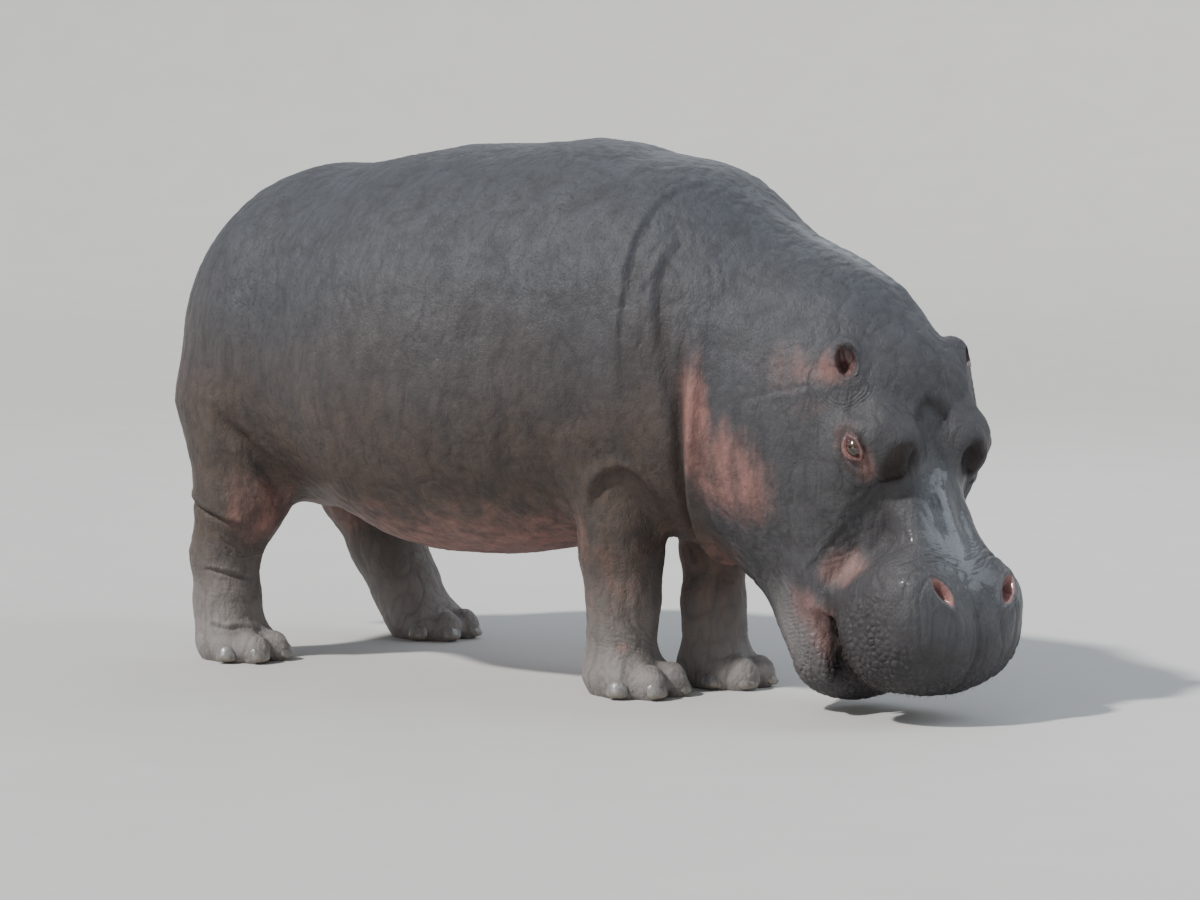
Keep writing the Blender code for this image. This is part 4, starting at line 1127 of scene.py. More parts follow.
def tints(base, marks):
    """How pink, pale, wet, raw, deep, shaded and darkened, and creased the hide is, as shares from 0 to 1.
    Deep and crease give painted shade in folds and creases. painted_shade_and_dark gives painted shade in
    recesses and a darker tone on the muzzle and crown.
    """
    q = mirrored(in_head(base))
    eye, nose, cup = (q - EYE_AT) @ EYE, (q - NOSTRIL_AT) @ NOSTRIL, ear_points(q)
    off_eye, off_nose = (ELSEWHERE * (np.abs(p[:, 2]) > far) for p, far in ((eye, 0.06), (nose, 0.05)))
    ring = oval(eye[:, 0] - 0.012, eye[:, 1] - 0.003, (0.066, 0.034)) + off_eye
    lids = lid_reach(eye) + off_eye
    hole = oval(nose[:, 0], nose[:, 1], NOSTRIL_SIZE) + off_nose
    in_nostril = 1.0 - smoothstep(hole, 0.80, 1.15)
    in_ear = (1.0 - smoothstep(ear_reach(cup), 0.65, 0.95)) * (cup[:, 2] > 0.0) * (cup[:, 2] < 0.05)
    ear_hole = bell(cup[:, 0], -0.014, 0.018) * bell(cup[:, 1], -0.004, 0.014)
    mouth, corner = patch(q, *MOUTH_INSIDE), patch(q, *MOUTH_CORNER_FLESH)
    round_eye = 0.70 * (1.0 - smoothstep(ring, 0.45, 1.05))
    raw = np.maximum.reduce([round_eye, in_nostril, 0.8 * in_ear, 0.55 * mouth, 0.8 * corner])
    near_eye = 0.55 * (1.0 - smoothstep(ring, 0.7, 1.8))
    fold = smoothstep(-marks["fold"], 0.002, 0.016)
    # Painted shade in recesses: in the ear's cup and hole, in the nostril and deep in the mouth. Then the
    # patches of painted shade and darker tone.
    shade_and_dark_masks = [
        in_ear * (0.30 + 0.60 * ear_hole),
        0.30 * (1.0 - smoothstep(hole, 0.15, 0.60)),
        0.7 * mouth * (1.0 - smoothstep(q[:, 1], 0.02, 0.12)),
        strongest(q, SHADE_AND_DARK_PATCHES),
    ]
    pinks = [strongest(base, PINK_ON_BODY), strongest(q, PINK_ON_HEAD), near_eye, in_nostril, corner]
    return {
        "pink": np.maximum.reduce(pinks),
        "pale": np.maximum(strongest(q, PALE_PATCHES), 0.60 * in_nostril),
        # wet: glossy hide, with a painted bluish sheen
        "wet": np.maximum.reduce([strongest(q, WET_AND_SHEEN_ON_HEAD), 0.4 * patch(base, *WET_AND_SHEEN_ON_NAPE), raw]),
        "raw": raw,
        # painted shade in the folds and in the groove round the lids
        "deep": np.maximum(fold, 0.9 * bell(lids, 0.96, 0.09)),
        # painted shade in recesses, beside the brow and under the muzzle, and a darker tone on the muzzle,
        # crown and snout
        "painted_shade_and_dark": np.minimum(np.maximum.reduce(shade_and_dark_masks), 1.0),
        # painted shade in the valleys of creases, wrinkles and pebbles
        "crease": marks["crease"],
    }


def mesh_piece(name, points, faces, material, uv=None):
    """A smooth-shaded mesh of triangles, added to the scene."""
    mesh = bpy.data.meshes.new(name)
    mesh.vertices.add(len(points))
    mesh.vertices.foreach_set("co", np.ascontiguousarray(points, np.float32).ravel())
    mesh.loops.add(3 * len(faces))
    mesh.loops.foreach_set("vertex_index", np.ascontiguousarray(faces, np.int32).ravel())
    mesh.polygons.add(len(faces))
    mesh.polygons.foreach_set("loop_start", np.arange(0, 3 * len(faces), 3, dtype=np.int32))
    mesh.update(calc_edges=True)
    mesh.shade_smooth()
    if uv is not None:
        layer = mesh.uv_layers.new(name="OFBake")
        layer.data.foreach_set("uv", np.ascontiguousarray(uv, np.float32).ravel())
    mesh.materials.append(material)
    obj = bpy.data.objects.new(name, mesh)
    bpy.context.scene.collection.objects.link(obj)
    return obj


# ---------------------------------------------------------------- materials
class Wire:
    """A socket of a material, with arithmetic that adds Math nodes."""

    def __init__(self, paint, socket):
        self.paint, self.socket = paint, socket

    def maths(self, operation, first, second):
        return self.paint.node("ShaderNodeMath", {"operation": operation}, {0: first, 1: second})

    def __add__(self, other):
        return self.maths("ADD", self, other)

    __radd__ = __add__

    def __sub__(self, other):
        return self.maths("SUBTRACT", self, other)

    def __rsub__(self, other):
        return self.maths("SUBTRACT", other, self)

    def __mul__(self, other):
        return self.maths("MULTIPLY", self, other)

    __rmul__ = __mul__

    def __truediv__(self, other):
        return self.maths("DIVIDE", self, other)

    def __pow__(self, other):
        return self.maths("POWER", self, other)

    def step(self, start, end):
        """0 up to start and 1 from end on, with a smooth rise between them."""
        settings = {"interpolation_type": "SMOOTHSTEP"}
        return self.paint.node("ShaderNodeMapRange", settings, {0: self, 1: start, 2: end})


class Paint:
    """A material under construction round one Principled shader."""

    def __init__(self, name):
        self.material = bpy.data.materials.new(name)
        self.material.use_nodes = True
        self.tree = self.material.node_tree
        self.shader = next(node for node in self.tree.nodes if node.type == "BSDF_PRINCIPLED")
        self.place = self.node("ShaderNodeTexCoord", output="Object")

    def node(self, kind, settings=None, sockets=None, output=0):
        """Adds a node, sets its settings, then fills its sockets with values or links."""
        node = self.tree.nodes.new(kind)
        for name, value in (settings or {}).items():
            setattr(node, name, value)
        for name, value in (sockets or {}).items():
            self.fill(node.inputs[name], value)
        return Wire(self, node.outputs[output])

    def fill(self, socket, value):
        if isinstance(value, Wire):
            self.tree.links.new(value.socket, socket)
        else:
            socket.default_value = value

    def attribute(self, name):
        return self.node("ShaderNodeAttribute", {"attribute_name": name}, output="Fac")

    def split(self, vector):
        """The x, y and z of a vector."""
        node = self.node("ShaderNodeSeparateXYZ", sockets={0: vector}).socket.node
        return [Wire(self, socket) for socket in node.outputs]

    def stretched(self, scales):
        return self.node("ShaderNodeVectorMath", {"operation": "MULTIPLY"}, {0: self.place, 1: scales})

    def noise(self, scale, detail=3.0, roughness=0.55, place=None):
        sockets = {"Vector": place or self.place, "Scale": scale, "Detail": detail, "Roughness": roughness}
        return self.node("ShaderNodeTexNoise", sockets=sockets, output="Fac")

    def cells(self, scale, feature="F1", place=None):
        sockets = {"Vector": place or self.place, "Scale": scale}
        return self.node("ShaderNodeTexVoronoi", {"feature": feature}, sockets, output="Distance")

    def mix(self, share, first, second):
        """Colour first where share is 0 and second where it is 1."""
        return self.node("ShaderNodeMix", {"data_type": "RGBA"}, {0: share, 6: first, 7: second}, output=2)

    def layered(self, tone, layers):
        """The tone with each layer's colour laid over it by the layer's share."""
        for share, over in layers:
            tone = self.mix(share, tone, over)
        return tone

    def bump(self, height, distance, strength=1.0):
        sockets = {"Height": height, "Distance": distance, "Strength": strength}
        return self.node("ShaderNodeBump", sockets=sockets)

    def finish(self, **sockets):
        """Fills the shader's sockets, named with _ for a space, and returns the material."""
        for name, value in sockets.items():
            self.fill(self.shader.inputs[name.replace("_", " ")], value)
        return self.material


def colour(red, green, blue):
    return (red, green, blue, 1.0)


# Colours of the hide.
BROWN, SLATE, MOTTLING = colour(0.080, 0.060, 0.050), colour(0.059, 0.064, 0.074), colour(0.036, 0.036, 0.041)
# A painted bluish sheen for wet hide, dust, and a paler tone for the lower legs and feet.
PAINTED_SHEEN, DUST, PALE_LOW_TONE = colour(0.084, 0.112, 0.136), colour(0.110, 0.114, 0.124), colour(0.262, 0.246, 0.240)
PINK, DEEP_PINK = colour(0.300, 0.150, 0.130), colour(0.180, 0.098, 0.086)
RED, DEEP_RED = colour(0.230, 0.098, 0.092), colour(0.125, 0.052, 0.050)
CHALK, CREAM_PINK = colour(0.270, 0.250, 0.244), colour(0.420, 0.240, 0.226)
# Dark pores, and a painted shade for creases.
PORE, PAINTED_CREASE_SHADE = colour(0.020, 0.020, 0.022), colour(0.020, 0.018, 0.018)
# Near-black colours of painted shade. The first is for folds and the groove round the lids. The second is for
# recesses and shaded patches, and it also gives the muzzle and crown a darker tone.
PAINTED_FOLD_SHADE, SHADE_AND_DARK_TONE = colour(0.034, 0.021, 0.018), colour(0.012, 0.007, 0.006)
# Colours of the eye, the horn, the moist flesh, the teeth and the bristles.
EYE_WHITE, VEIN = colour(0.062, 0.036, 0.032), colour(0.095, 0.032, 0.027)
IRIS, IRIS_RAY = colour(0.030, 0.014, 0.008), colour(0.075, 0.036, 0.016)
IRIS_EDGE, PUPIL = colour(0.020, 0.012, 0.010), colour(0.004, 0.004, 0.005)
HORN, DARK_HORN = colour(0.190, 0.184, 0.178), colour(0.105, 0.101, 0.098)
WORN_HORN, HORN_STAIN = colour(0.230, 0.185, 0.120), colour(0.110, 0.095, 0.080)
TONGUE_TONES = colour(0.420, 0.170, 0.150), colour(0.300, 0.110, 0.100)
GUM_TONES = colour(0.440, 0.200, 0.180), colour(0.300, 0.130, 0.120)
BUDS = colour(0.450, 0.260, 0.220)
ENAMEL, STAINED_ENAMEL = colour(0.560, 0.450, 0.270), colour(0.380, 0.270, 0.130)
PALE_HAIR, DARK_HAIR = colour(0.120, 0.095, 0.075), colour(0.045, 0.038, 0.034)
FLOOR_TONES = colour(0.500, 0.495, 0.485), colour(0.515, 0.510, 0.500)
SKY = colour(0.84, 0.91, 1.0)
# The head's own colours begin along x where the first is and are full at the second.
HEAD_BEGINS, HEAD_FULL = 0.54, 0.66


def hide_material():
    """Slate hide: bluish above, browner on the flanks, pink in the soft places, and wet on the snout with a
    painted bluish sheen. It has painted shade in folds, creases and recesses.
    """
    paint = Paint("hide")
    x, _, z = paint.split(paint.place)
    pink, pale, wet, raw = (paint.attribute(name) for name in ("pink", "pale", "wet", "raw"))
    # Masks of painted shade: in folds, in recesses and shaded patches, and in creases.
    deep, painted_shade_and_dark, crease = (paint.attribute(name) for name in ("deep", "painted_shade_and_dark", "crease"))
    blotch = paint.noise(2.6, 4.0)
    mottle = paint.noise(13.0, 5.0, 0.62)
    streak = paint.noise(7.0, 5.0, 0.60, paint.stretched((3.2, 3.2, 0.7)))
    grain = paint.noise(95.0, 4.0, 0.65)
    height = z + (blotch - 0.5) * 0.5
    head = x.step(HEAD_BEGINS, HEAD_FULL)
    cool = height.step(0.50, 1.20) * (1.0 - head * 0.75) + head * 0.75
    low = (1.0 - (z + (blotch - 0.5) * 0.15).step(0.02, 0.40)) * (1.0 - head)
    ragged = (mottle - 0.30) * 1.1 + (streak - 0.5) * 0.6 + (grain - 0.5) * 0.4
    pores = (1.0 - paint.cells(62.0).step(0.12, 0.26)) * height.step(0.75, 1.05) * blotch.step(0.35, 0.60)
    layers = (
        ((mottle * 0.6 + streak * 0.4).step(0.40, 0.68) * 0.55, MOTTLING),
        # a painted bluish sheen where the hide is wet
        (wet * 0.38, PAINTED_SHEEN),
        (grain.step(0.45, 0.75) * 0.07, DUST),
        # paler towards the ground on the legs and feet
        (low * 0.73, PALE_LOW_TONE),
        ((pink * 1.35 - ragged).step(0.0, 1.05) * 0.82, paint.mix(streak.step(0.35, 0.65), PINK, DEEP_PINK)),
        (raw * 0.85, paint.mix(mottle.step(0.40, 0.65), RED, DEEP_RED)),
        (pale * 0.75, paint.mix(pink, CHALK, CREAM_PINK)),
        (pores * 0.60, PORE),
        # painted shade in creases
        (crease * 0.50, PAINTED_CREASE_SHADE),
        # painted shade in the folds and round the lids
        (deep * 0.55, PAINTED_FOLD_SHADE),
        # painted shade in recesses, near black, and a darker tone on the muzzle and crown
        (painted_shade_and_dark * 0.85, SHADE_AND_DARK_TONE),
    )
    rough = 0.47 + (mottle - 0.5) * 0.14 - wet * 0.20 + (grain - 0.5) * 0.06 + low * 0.14 + crease * 0.10
    cracks = paint.noise(46.0, 6.0, 0.62, paint.stretched((1.0, 1.0, 0.55)))
    plates = paint.cells(110.0, "DISTANCE_TO_EDGE", paint.stretched((1.0, 1.0, 0.7)))
    rise = cracks * 0.9 + plates.step(0.0, 0.14) * 0.06 + grain * 0.10
    return paint.finish(
        Base_Color=paint.layered(paint.mix(cool, BROWN, SLATE), layers),
        Roughness=rough,
        Normal=paint.bump(rise, 0.0070),
        Coat_Weight=wet * (0.45 + mottle.step(0.30, 0.70) * 0.30),
        Coat_Roughness=0.15,
        Specular_IOR_Level=0.24,
    )


def eye_material():
    """A wet brown ball with a dark iris and a level pupil, round the z axis of the eye."""
    paint = Paint("eye")
    x, y, _ = paint.split(paint.place)
    reach = (x * x + y * y) ** 0.5 / EYE_RADIUS
    white = paint.mix(paint.noise(420.0, 4.0, 0.7).step(0.42, 0.62), EYE_WHITE, VEIN)
    iris = paint.mix(paint.noise(260.0, 2.0, 0.5).step(0.35, 0.65), IRIS, IRIS_RAY)
    rim = (reach - 0.62).step(0.0, 0.08) * (1.0 - (reach - 0.72).step(0.0, 0.08))
    pupil = 1.0 - (((x / 0.42) ** 2.0 + (y / 0.20) ** 2.0) ** 0.5 / EYE_RADIUS).step(0.85, 1.05)
    tone = paint.mix(1.0 - reach.step(0.66, 0.80), white, iris)
    tone = paint.layered(tone, ((rim * 0.7, IRIS_EDGE), (pupil, PUPIL)))
    return paint.finish(Base_Color=tone, Roughness=0.16, Coat_Weight=1.0, Coat_Roughness=0.03)


def nail_material():
    """Grey horn with fine upright grain, worn yellowish towards the ground."""
    paint = Paint("nail")
    _, _, z = paint.split(paint.place)
    grain = paint.noise(60.0, 5.0, 0.6, paint.stretched((3.0, 3.0, 0.35)))
    stain = paint.noise(30.0, 4.0, 0.6)
    worn = 1.0 - (z + (stain - 0.5) * 0.02).step(0.004, 0.026)
    layers = ((worn * 0.55, WORN_HORN), (stain.step(0.55, 0.75) * 0.5, HORN_STAIN))
    return paint.finish(
        Base_Color=paint.layered(paint.mix(grain.step(0.35, 0.70), HORN, DARK_HORN), layers),
        Roughness=0.34 + (stain - 0.5) * 0.25,
        Normal=paint.bump(grain + stain * 0.5, 0.0012, 0.7),
        Coat_Weight=0.25,
        Coat_Roughness=0.2,
    )


def flesh_material(name, tones, scale, roughness):
    """Moist flesh with fine bumps."""
    paint = Paint(name)
    blotch = paint.noise(scale * 0.25, 4.0)
    buds = paint.cells(scale * 3.0)
    tone = paint.mix(blotch.step(0.35, 0.65), *tones)
    return paint.finish(
        Base_Color=paint.mix((1.0 - buds.step(0.0, 0.5)) * 0.30, tone, BUDS),
        Roughness=roughness + (blotch - 0.5) * 0.2,
        Normal=paint.bump(buds.step(0.0, 0.6) + blotch, 0.0015, 0.6),
        Coat_Weight=0.5,
        Coat_Roughness=0.15,
    )


def tooth_material():
    """Yellowed enamel with brown streaks."""
    paint = Paint("tooth")
    streak = paint.noise(90.0, 4.0, 0.6, paint.stretched((1.0, 3.0, 1.0)))
    return paint.finish(
        Base_Color=paint.mix(streak.step(0.35, 0.65), ENAMEL, STAINED_ENAMEL),
        Roughness=0.30 + (streak - 0.5) * 0.2,
        Normal=paint.bump(streak, 0.0006, 0.6),
        Coat_Weight=0.3,
        Coat_Roughness=0.1,
    )


def bristle_material():
    """Grey-brown hair, some of it paler."""
    paint = Paint("bristle")
    shade = paint.noise(35.0, 2.0)
    tone = paint.mix(shade.step(0.35, 0.65), PALE_HAIR, DARK_HAIR)
    return paint.finish(Base_Color=tone, Roughness=0.45 + (shade - 0.5) * 0.2)


# ---------------------------------------------------------------- eyes
CORNEA_ANGLE, CORNEA_RISE = 0.62, 0.0020


def of_head(place, axes, side):
    """A left-half place and frame of the head, mirrored for the right side, as a matrix."""
    mirror = np.diag([1.0, side, 1.0])
    matrix = Matrix((HEAD @ mirror @ axes @ mirror).tolist()).to_4x4()
    matrix.translation = Vector(HEAD_AT + HEAD @ mirror @ place + SHIFT)
    return matrix


def turned_ball(radii, segments, rings, shape=None):
    """Points and faces of a ball; shape may move the points of the unit ball first."""
    bm = bmesh.new()
    bmesh.ops.create_uvsphere(bm, u_segments=segments, v_segments=rings, radius=1.0)
    bmesh.ops.triangulate(bm, faces=bm.faces)
    points = np.array([vertex.co for vertex in bm.verts])
    faces = np.array([[vertex.index for vertex in face.verts] for face in bm.faces])
    bm.free()
    # Blender hands the triangles out in another order each run, so they are put in one order.
    faces = faces[np.lexsort(faces.T)]
    if shape is not None:
        points = shape(points)
    return points * np.asarray(radii), faces


def cornea(points):
    """Swells the front of the ball."""
    angle = np.arccos(np.clip(points[:, 2], -1.0, 1.0))
    rise = CORNEA_RISE / EYE_RADIUS * np.maximum(0.0, 1.0 - (angle / CORNEA_ANGLE) ** 2) ** 1.5
    return points * (1.0 + rise)[:, None]


def add_eyes(material):
    for name, side in (("left_eye", 1.0), ("right_eye", -1.0)):
        points, faces = turned_ball((EYE_RADIUS,) * 3, 64, 40, cornea)
        eye = mesh_piece(name + "_ball", points, faces, material)
        eye.matrix_world = of_head(EYE_AT, EYE, side)
        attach(eye, "root")
        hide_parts(name)


# ---------------------------------------------------------------- nails
NAIL_WIDTH, NAIL_HEIGHT, NAIL_THICKNESS, NAIL_WRAP = 0.031, 0.025, 0.009, 0.036
NAIL_LEAN = math.radians(18.0)
# Where a nail sits on its toe: a share of the toe's length ahead of its middle, and a drop below it.
NAIL_AHEAD, NAIL_DROP = 0.86, 0.008
NODE_OF_LEG = {
    "fore_right": "right_forefoot",
    "fore_left": "left_forefoot",
    "hind_right": "right_hind_foot",
    "hind_left": "left_hind_foot",
}


def nail_shape(points):
    """A domed plate that wraps round a toe: squarer in outline, flat below, with fine ridges."""
    flat = np.sign(points[:, 1:]) * np.abs(points[:, 1:]) ** 0.72
    wide = flat[:, 0] * NAIL_WIDTH
    tall = np.where(flat[:, 1] < 0.0, flat[:, 1] * 0.80, flat[:, 1]) * NAIL_HEIGHT
    out = points[:, 0] * NAIL_THICKNESS * (1.15 - 0.35 * flat[:, 1])
    out += 0.0005 * np.sin(wide / 0.0016) * (points[:, 0] > 0.0)
    turn = wide / NAIL_WRAP
    reach = NAIL_WRAP + out
    return np.stack([reach * np.cos(turn) - NAIL_WRAP, reach * np.sin(turn), tall], axis=1)


def turned(angle, first, second):
    """The matrix of a turn from one axis towards another."""
    matrix = np.eye(3)
    matrix[first, first] = matrix[second, second] = math.cos(angle)
    matrix[first, second], matrix[second, first] = -math.sin(angle), math.sin(angle)
    return matrix


def add_nails(material):
    for leg, foot in NODE_OF_LEG.items():
        for number, (angle, centre, radii) in enumerate(toes(leg), start=1):
            points, faces = turned_ball((1.0, 1.0, 1.0), 40, 28, nail_shape)
            points = points @ turned(NAIL_LEAN, 0, 2).T + (radii[0] * NAIL_AHEAD, 0.0, -NAIL_DROP)
            points = points @ turned(math.radians(angle), 0, 1).T + np.array(centre) + SHIFT
            points[:, 2] = np.maximum(points[:, 2], 0.0)
            nail = mesh_piece(f"{foot}_horn_{number}", points, faces, material)
            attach(nail, "root")
            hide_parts(f"{foot}_nail_{number}")


# ---------------------------------------------------------------- mouth
TONGUE_AT, TONGUE_SIZE = np.array([0.520, 0.0, -0.332]), (0.105, 0.070, 0.015)
GUM_AT, GUM_SIZE = np.array([0.650, 0.0, -0.340]), (0.018, 0.110, 0.012)
# Each tooth: place to the left, lean forward in degrees, radius at the root and length.
TOOTH_ROWS = (
    (-0.078, 20.0, 0.011, 0.040),
    (-0.026, 35.0, 0.009, 0.045),
    (0.026, 35.0, 0.009, 0.045),
    (0.078, 20.0, 0.011, 0.040),
)


def head_piece(name, points, faces, material, node):
    """A piece given by points of the head frame, which stands for a node if one is named."""
    piece = mesh_piece(name, points @ HEAD.T + HEAD_AT + SHIFT, faces, material)
    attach(piece, "root")
    if node:
        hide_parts(node)


def tongue_shape(points):
    """A groove along the middle and an uneven top."""
    groove = 0.25 * bell(points[:, 1], 0.0, 0.18) * (points[:, 2] > 0.0)
    uneven = 0.10 * noise(points, 0.16, 31)
    return points * np.stack([np.ones(len(points)), 1.0 + uneven * 0.3, 1.0 - groove + uneven], axis=1)


def tooth_points(left, lean, radius, length):
    """A peg that narrows and bends forward to a worn tip."""
    points, faces = turned_ball((1.0, 1.0, 1.0), 24, 20)
    share = points[:, 2] * 0.5 + 0.5
    size = radius * (1.0 - 0.55 * share) * np.sqrt(np.maximum(0.0, 1.0 - np.abs(points[:, 2]) ** 6))
    around = unit_rows(points[:, :2], 1e-4)
    turn = math.radians(lean) * (0.6 + 0.8 * share)
    rise = (share - 0.18) * length
    forward = np.sin(turn) * rise
    placed = [around[:, 0] * size + forward, around[:, 1] * size + left, np.cos(turn) * rise]
    return np.stack(placed, axis=1) + GUM_AT, faces


def add_mouth(tongue_finish, gum_finish, tooth_finish):
    points, faces = turned_ball(TONGUE_SIZE, 72, 48, tongue_shape)
    head_piece("tongue_flesh", points + TONGUE_AT, faces, tongue_finish, "tongue")
    points, faces = turned_ball(GUM_SIZE, 48, 24)
    head_piece("lower_gum", points + GUM_AT, faces, gum_finish, "lower_teeth")
    for number, row in enumerate(TOOTH_ROWS, start=1):
        points, faces = tooth_points(*row)
        head_piece(f"lower_tooth_{number}", points, faces, tooth_finish, None)


# ---------------------------------------------------------------- bristles
BRISTLE_RINGS, BRISTLE_SIDES, BRISTLE_PATCH = 5, 4, 0.003
BRISTLE_BEND, BRISTLE_TAPER, BRISTLE_ROOT = 0.55, 0.92, 0.0015
STRAY_OUT, STRAY_ALONG = 0.30, 0.35


def chances(rows, seed, place=0):
    """Repeatable values from -1 to 1, one for each row number."""
    return scramble(np.stack([rows, rows * 0 + place, rows * 0], axis=1), seed)


def bristle_faces():
    """The triangles of one bristle, ring after ring from root to tip, and its two ends."""
    faces = []
    for ring in range(BRISTLE_RINGS - 1):
        for step in range(BRISTLE_SIDES):
            a, b = ring * BRISTLE_SIDES + step, ring * BRISTLE_SIDES + (step + 1) % BRISTLE_SIDES
            faces += [(a, b, b + BRISTLE_SIDES), (a, b + BRISTLE_SIDES, a + BRISTLE_SIDES)]
    tip = (BRISTLE_RINGS - 1) * BRISTLE_SIDES
    return np.array(faces + [(0, 2, 1), (0, 3, 2), (tip, tip + 1, tip + 2), (tip, tip + 2, tip + 3)])


def bristles(name, roots, out, along, length, radius, uv, material):
    """Thin cones that leave the hide along out and bend towards along. One row of each array a bristle."""
    side = unit_rows(np.cross(out, along))
    across = np.cross(side, out)
    rows = []
    for t in np.linspace(0.0, 1.0, BRISTLE_RINGS):
        straight, bent = length * t * (1.0 - 0.35 * t), length * BRISTLE_BEND * t * t
        middle = roots + out * straight[:, None] + along * bent[:, None]
        for turn in 2.0 * math.pi * np.arange(BRISTLE_SIDES) / BRISTLE_SIDES:
            round_it = math.cos(turn) * side + math.sin(turn) * across
            rows.append(middle + radius * (1.0 - BRISTLE_TAPER * t) * round_it)
    points = np.stack(rows, axis=1).reshape(-1, 3)
    each = np.arange(len(roots))[:, None, None] * BRISTLE_RINGS * BRISTLE_SIDES
    faces = (bristle_faces()[None] + each).reshape(-1, 3)
    spread = np.array(list(np.ndindex(BRISTLE_RINGS, BRISTLE_SIDES))) / (BRISTLE_RINGS, BRISTLE_SIDES)
    corner_uv = (uv[:, None] + spread[None] * BRISTLE_PATCH).reshape(-1, 2)[faces]
    piece = mesh_piece(name, points, faces, material, corner_uv)
    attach(piece, "root")


def grown(name, allowed, skin, count, lengths, radius, lean, material, seed):
    """Bristles on some of the allowed points of the skin, with lengths between two values."""
    _, points, directions, point_uv = skin
    rows = np.flatnonzero(allowed)
    rows = rows[np.argsort(chances(rows, seed))[:count]]
    if not len(rows):
        return
    stray = np.stack([chances(rows, seed + 2, i) for i in range(3)], axis=1)
    out = unit_rows(directions[rows] + STRAY_OUT * stray)
    along = np.asarray(lean) + STRAY_ALONG * stray[:, ::-1]
    along = unit_rows(along - out * (along * out).sum(axis=1, keepdims=True))
    length = lengths[0] + (lengths[1] - lengths[0]) * (0.5 + 0.5 * chances(rows, seed + 1))
    roots = points[rows] - BRISTLE_ROOT * directions[rows] + SHIFT
    bristles(name, roots, out, along, length, radius, point_uv[rows], material)


def add_bristles(skin, material):
    """Sparse bristles on the upper lip and chin, by the ear, and at the tail's edges and tip."""
    base = skin[0]
    q = mirrored(in_head(base))
    cup = ear_points(q)
    lip = (q[:, 0] > 0.52) & (q[:, 2] < -0.14) & (q[:, 2] > -0.27)
    chin = (q[:, 0] > 0.50) & (q[:, 2] < -0.37) & (q[:, 2] > -0.50)
    rim = (np.abs(ear_reach(cup) - 0.95) < 0.10) & (np.abs(cup[:, 2]) < 0.02) & (cup[:, 0] > -0.02)
    tail = (base[:, 0] < -1.02) & (base[:, 2] < 0.74) & (base[:, 2] > 0.63)
    edge = tail & (np.abs(base[:, 0] + 1.046) > 0.012)
    tip = tail & (base[:, 2] < 0.655)
    down, back, hang = -HEAD[:, 2] * 0.5 - (0.0, 0.0, 0.8), HEAD[:, 2] * 0.3 - HEAD[:, 0], (0.0, 0.0, -1.4)
    # Each growth: name, where it may stand, count, shortest and longest, radius, lean and seed.
    growths = (
        ("upper_lip_bristles", lip, 420, (0.010, 0.026), 0.00042, down, 41),
        ("chin_bristles", chin, 180, (0.008, 0.020), 0.00040, down, 45),
        ("ear_fringe", rim, 260, (0.006, 0.015), 0.00035, back, 49),
        ("tail_bristles", edge, 260, (0.025, 0.060), 0.00075, hang, 53),
        ("tail_tip_bristles", tip, 120, (0.030, 0.055), 0.00075, hang, 57),
    )
    for name, allowed, count, lengths, radius, lean, seed in growths:
        grown(name, allowed, skin, count, lengths, radius, lean, material, seed)


# ---------------------------------------------------------------- skin, studio and camera
FLESH_NODES = (
    "trunk", "neck", "head", "lower_jaw", "tail", "left_ear", "right_ear",
    "left_foreleg", "right_foreleg", "left_hind_leg", "right_hind_leg",
    "left_forefoot", "right_forefoot", "left_hind_foot", "right_hind_foot",
)
CAMERA_AT, CAMERA_AZIMUTH, CAMERA_DIP, CAMERA_LENS = (7.284, -9.247, 1.612), 38.0, 4.9, 133.2
SENSOR_WIDTH, CAMERA_REACH = 36.0, 200.0
FLOOR_RADIUS, COVE_RADIUS, BACKDROP_SIDES = 17.0, 9.0, 96
SUN_DISTANCE, PANEL_DISTANCE, PANEL_SIZE = 12.0, 8.0, 4.0
# Each light panel: its azimuth, elevation, watts and tint.
PANELS = {
    "rim": (205.0, 40.0, 90.0, (0.92, 0.96, 1.0)),
    "bounce": (15.0, 4.0, 110.0, (1.0, 0.86, 0.74)),
    "sheen": (121.0, 38.0, 190.0, (0.82, 0.91, 1.0)),
}


def add_skin(material):
    """The skin, which stands for all the nodes of flesh. Gives what the bristles need to grow on it."""
    base, points, faces, directions, marks = build_skin()
    uv = unwrap(points, faces, directions)
    skin = mesh_piece("skin", points + SHIFT, faces, material, uv)
    for name, values in tints(base, marks).items():
        layer = skin.data.attributes.new(name, "FLOAT", "POINT")
        layer.data.foreach_set("value", np.ascontiguousarray(values, np.float32))
    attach(skin, "root")
    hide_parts(*FLESH_NODES)
    point_uv = np.zeros((len(points), 2))
    point_uv[faces.ravel()] = uv.reshape(-1, 2)
    return base, points, directions, point_uv


def add_camera():
    data = bpy.data.cameras.new("camera")
    data.lens, data.sensor_width = CAMERA_LENS, SENSOR_WIDTH
    data.clip_end = CAMERA_REACH
    camera = bpy.data.objects.new("camera", data)
    camera.location = CAMERA_AT
    camera.rotation_euler = (math.radians(90.0 - CAMERA_DIP), 0.0, math.radians(CAMERA_AZIMUTH))
    bpy.context.scene.collection.objects.link(camera)
    bpy.context.scene.camera = camera


def aim(light, azimuth, elevation, distance):
    """Places a light on a ball round the animal and turns it to the middle."""
    turn, rise = math.radians(azimuth), math.radians(elevation)
    flat = distance * math.cos(rise)
    place = Vector((math.sin(turn) * flat, -math.cos(turn) * flat, distance * math.sin(rise)))
    light.location = place
    light.rotation_euler = (-place).to_track_quat("-Z", "Y").to_euler()
    bpy.context.scene.collection.objects.link(light)


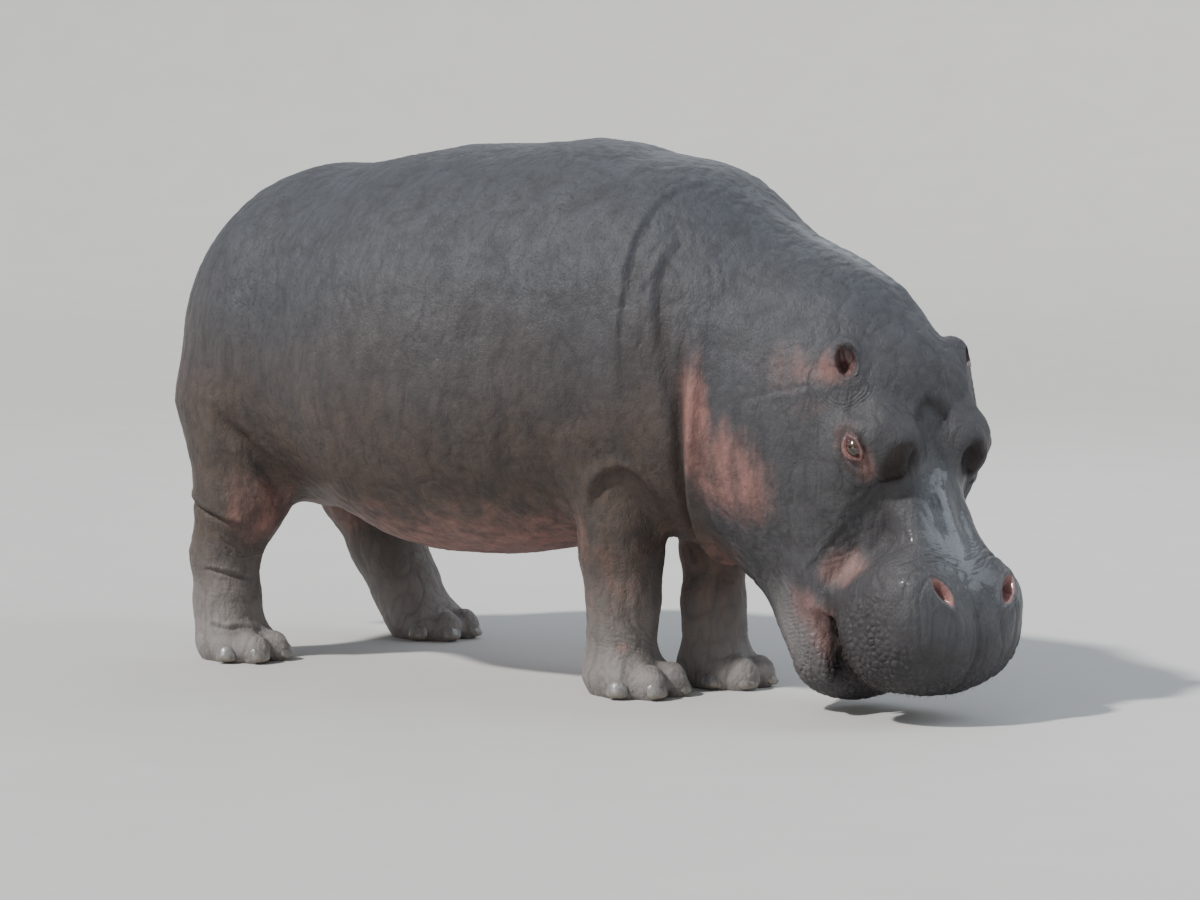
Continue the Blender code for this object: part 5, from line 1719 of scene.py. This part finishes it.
def add_sun(name, azimuth, elevation, spread, strength, tint):
    """Even light from far away; spread is its softness in degrees."""
    data = bpy.data.lights.new(name, "SUN")
    data.angle, data.energy, data.color = math.radians(spread), strength, tint
    aim(bpy.data.objects.new(name, data), azimuth, elevation, SUN_DISTANCE)


def add_panel(name, azimuth, elevation, watts, tint):
    """A square panel of soft light."""
    data = bpy.data.lights.new(name, "AREA")
    data.size, data.energy, data.color = PANEL_SIZE, watts, tint
    aim(bpy.data.objects.new(name, data), azimuth, elevation, PANEL_DISTANCE)


def backdrop(material):
    """A round floor whose edge curves up into a wall, so that no horizon shows."""
    turns = np.linspace(0.0, math.pi / 2.0, 13)
    outward = np.concatenate([[0.01, FLOOR_RADIUS / 2.0], FLOOR_RADIUS + COVE_RADIUS * np.sin(turns)])
    upward = np.concatenate([[0.0, 0.0], COVE_RADIUS * (1.0 - np.cos(turns))])
    around = np.linspace(0.0, 2.0 * math.pi, BACKDROP_SIDES, endpoint=False)
    circle = np.stack([np.cos(around), np.sin(around), np.zeros(BACKDROP_SIDES)], axis=1)
    points = [reach * circle + (0.0, 0.0, rise) for reach, rise in zip(outward, upward)]
    a = np.arange(BACKDROP_SIDES)
    b = (a + 1) % BACKDROP_SIDES
    faces = [np.stack([a, b, np.zeros_like(a)], axis=1)[1:-1]]
    for ring in range(len(points) - 1):
        low, high = ring * BACKDROP_SIDES, (ring + 1) * BACKDROP_SIDES
        for corners in ((a + low, a + high, b + high), (a + low, b + high, b + low)):
            faces.append(np.stack(corners, axis=1))
    return mesh_piece("studio_floor", np.concatenate(points), np.concatenate(faces), material)


def add_studio():
    """The floor and backdrop, the key light, the light panels and the sky."""
    paint = Paint("studio_floor")
    tone = paint.mix(paint.noise(3.0, 4.0).step(0.3, 0.7), *FLOOR_TONES)
    backdrop(paint.finish(Base_Color=tone, Roughness=0.85))
    add_sun("key", -20.0, 48.0, 4.0, 4.6, (1.0, 0.972, 0.930))
    for name, panel in PANELS.items():
        add_panel(name, *panel)
    world = bpy.data.worlds.new("studio")
    world.use_nodes = True
    background = next(node for node in world.node_tree.nodes if node.type == "BACKGROUND")
    background.inputs["Color"].default_value = SKY
    background.inputs["Strength"].default_value = 0.60
    bpy.context.scene.world = world


def main():
    skin = add_skin(hide_material())
    add_eyes(eye_material())
    add_nails(nail_material())
    tongue = flesh_material("tongue", TONGUE_TONES, 90.0, 0.38)
    gum = flesh_material("gum", GUM_TONES, 120.0, 0.35)
    add_mouth(tongue, gum, tooth_material())
    add_bristles(skin, bristle_material())
    add_studio()
    add_camera()


main()
bpy.context.view_layer.update()
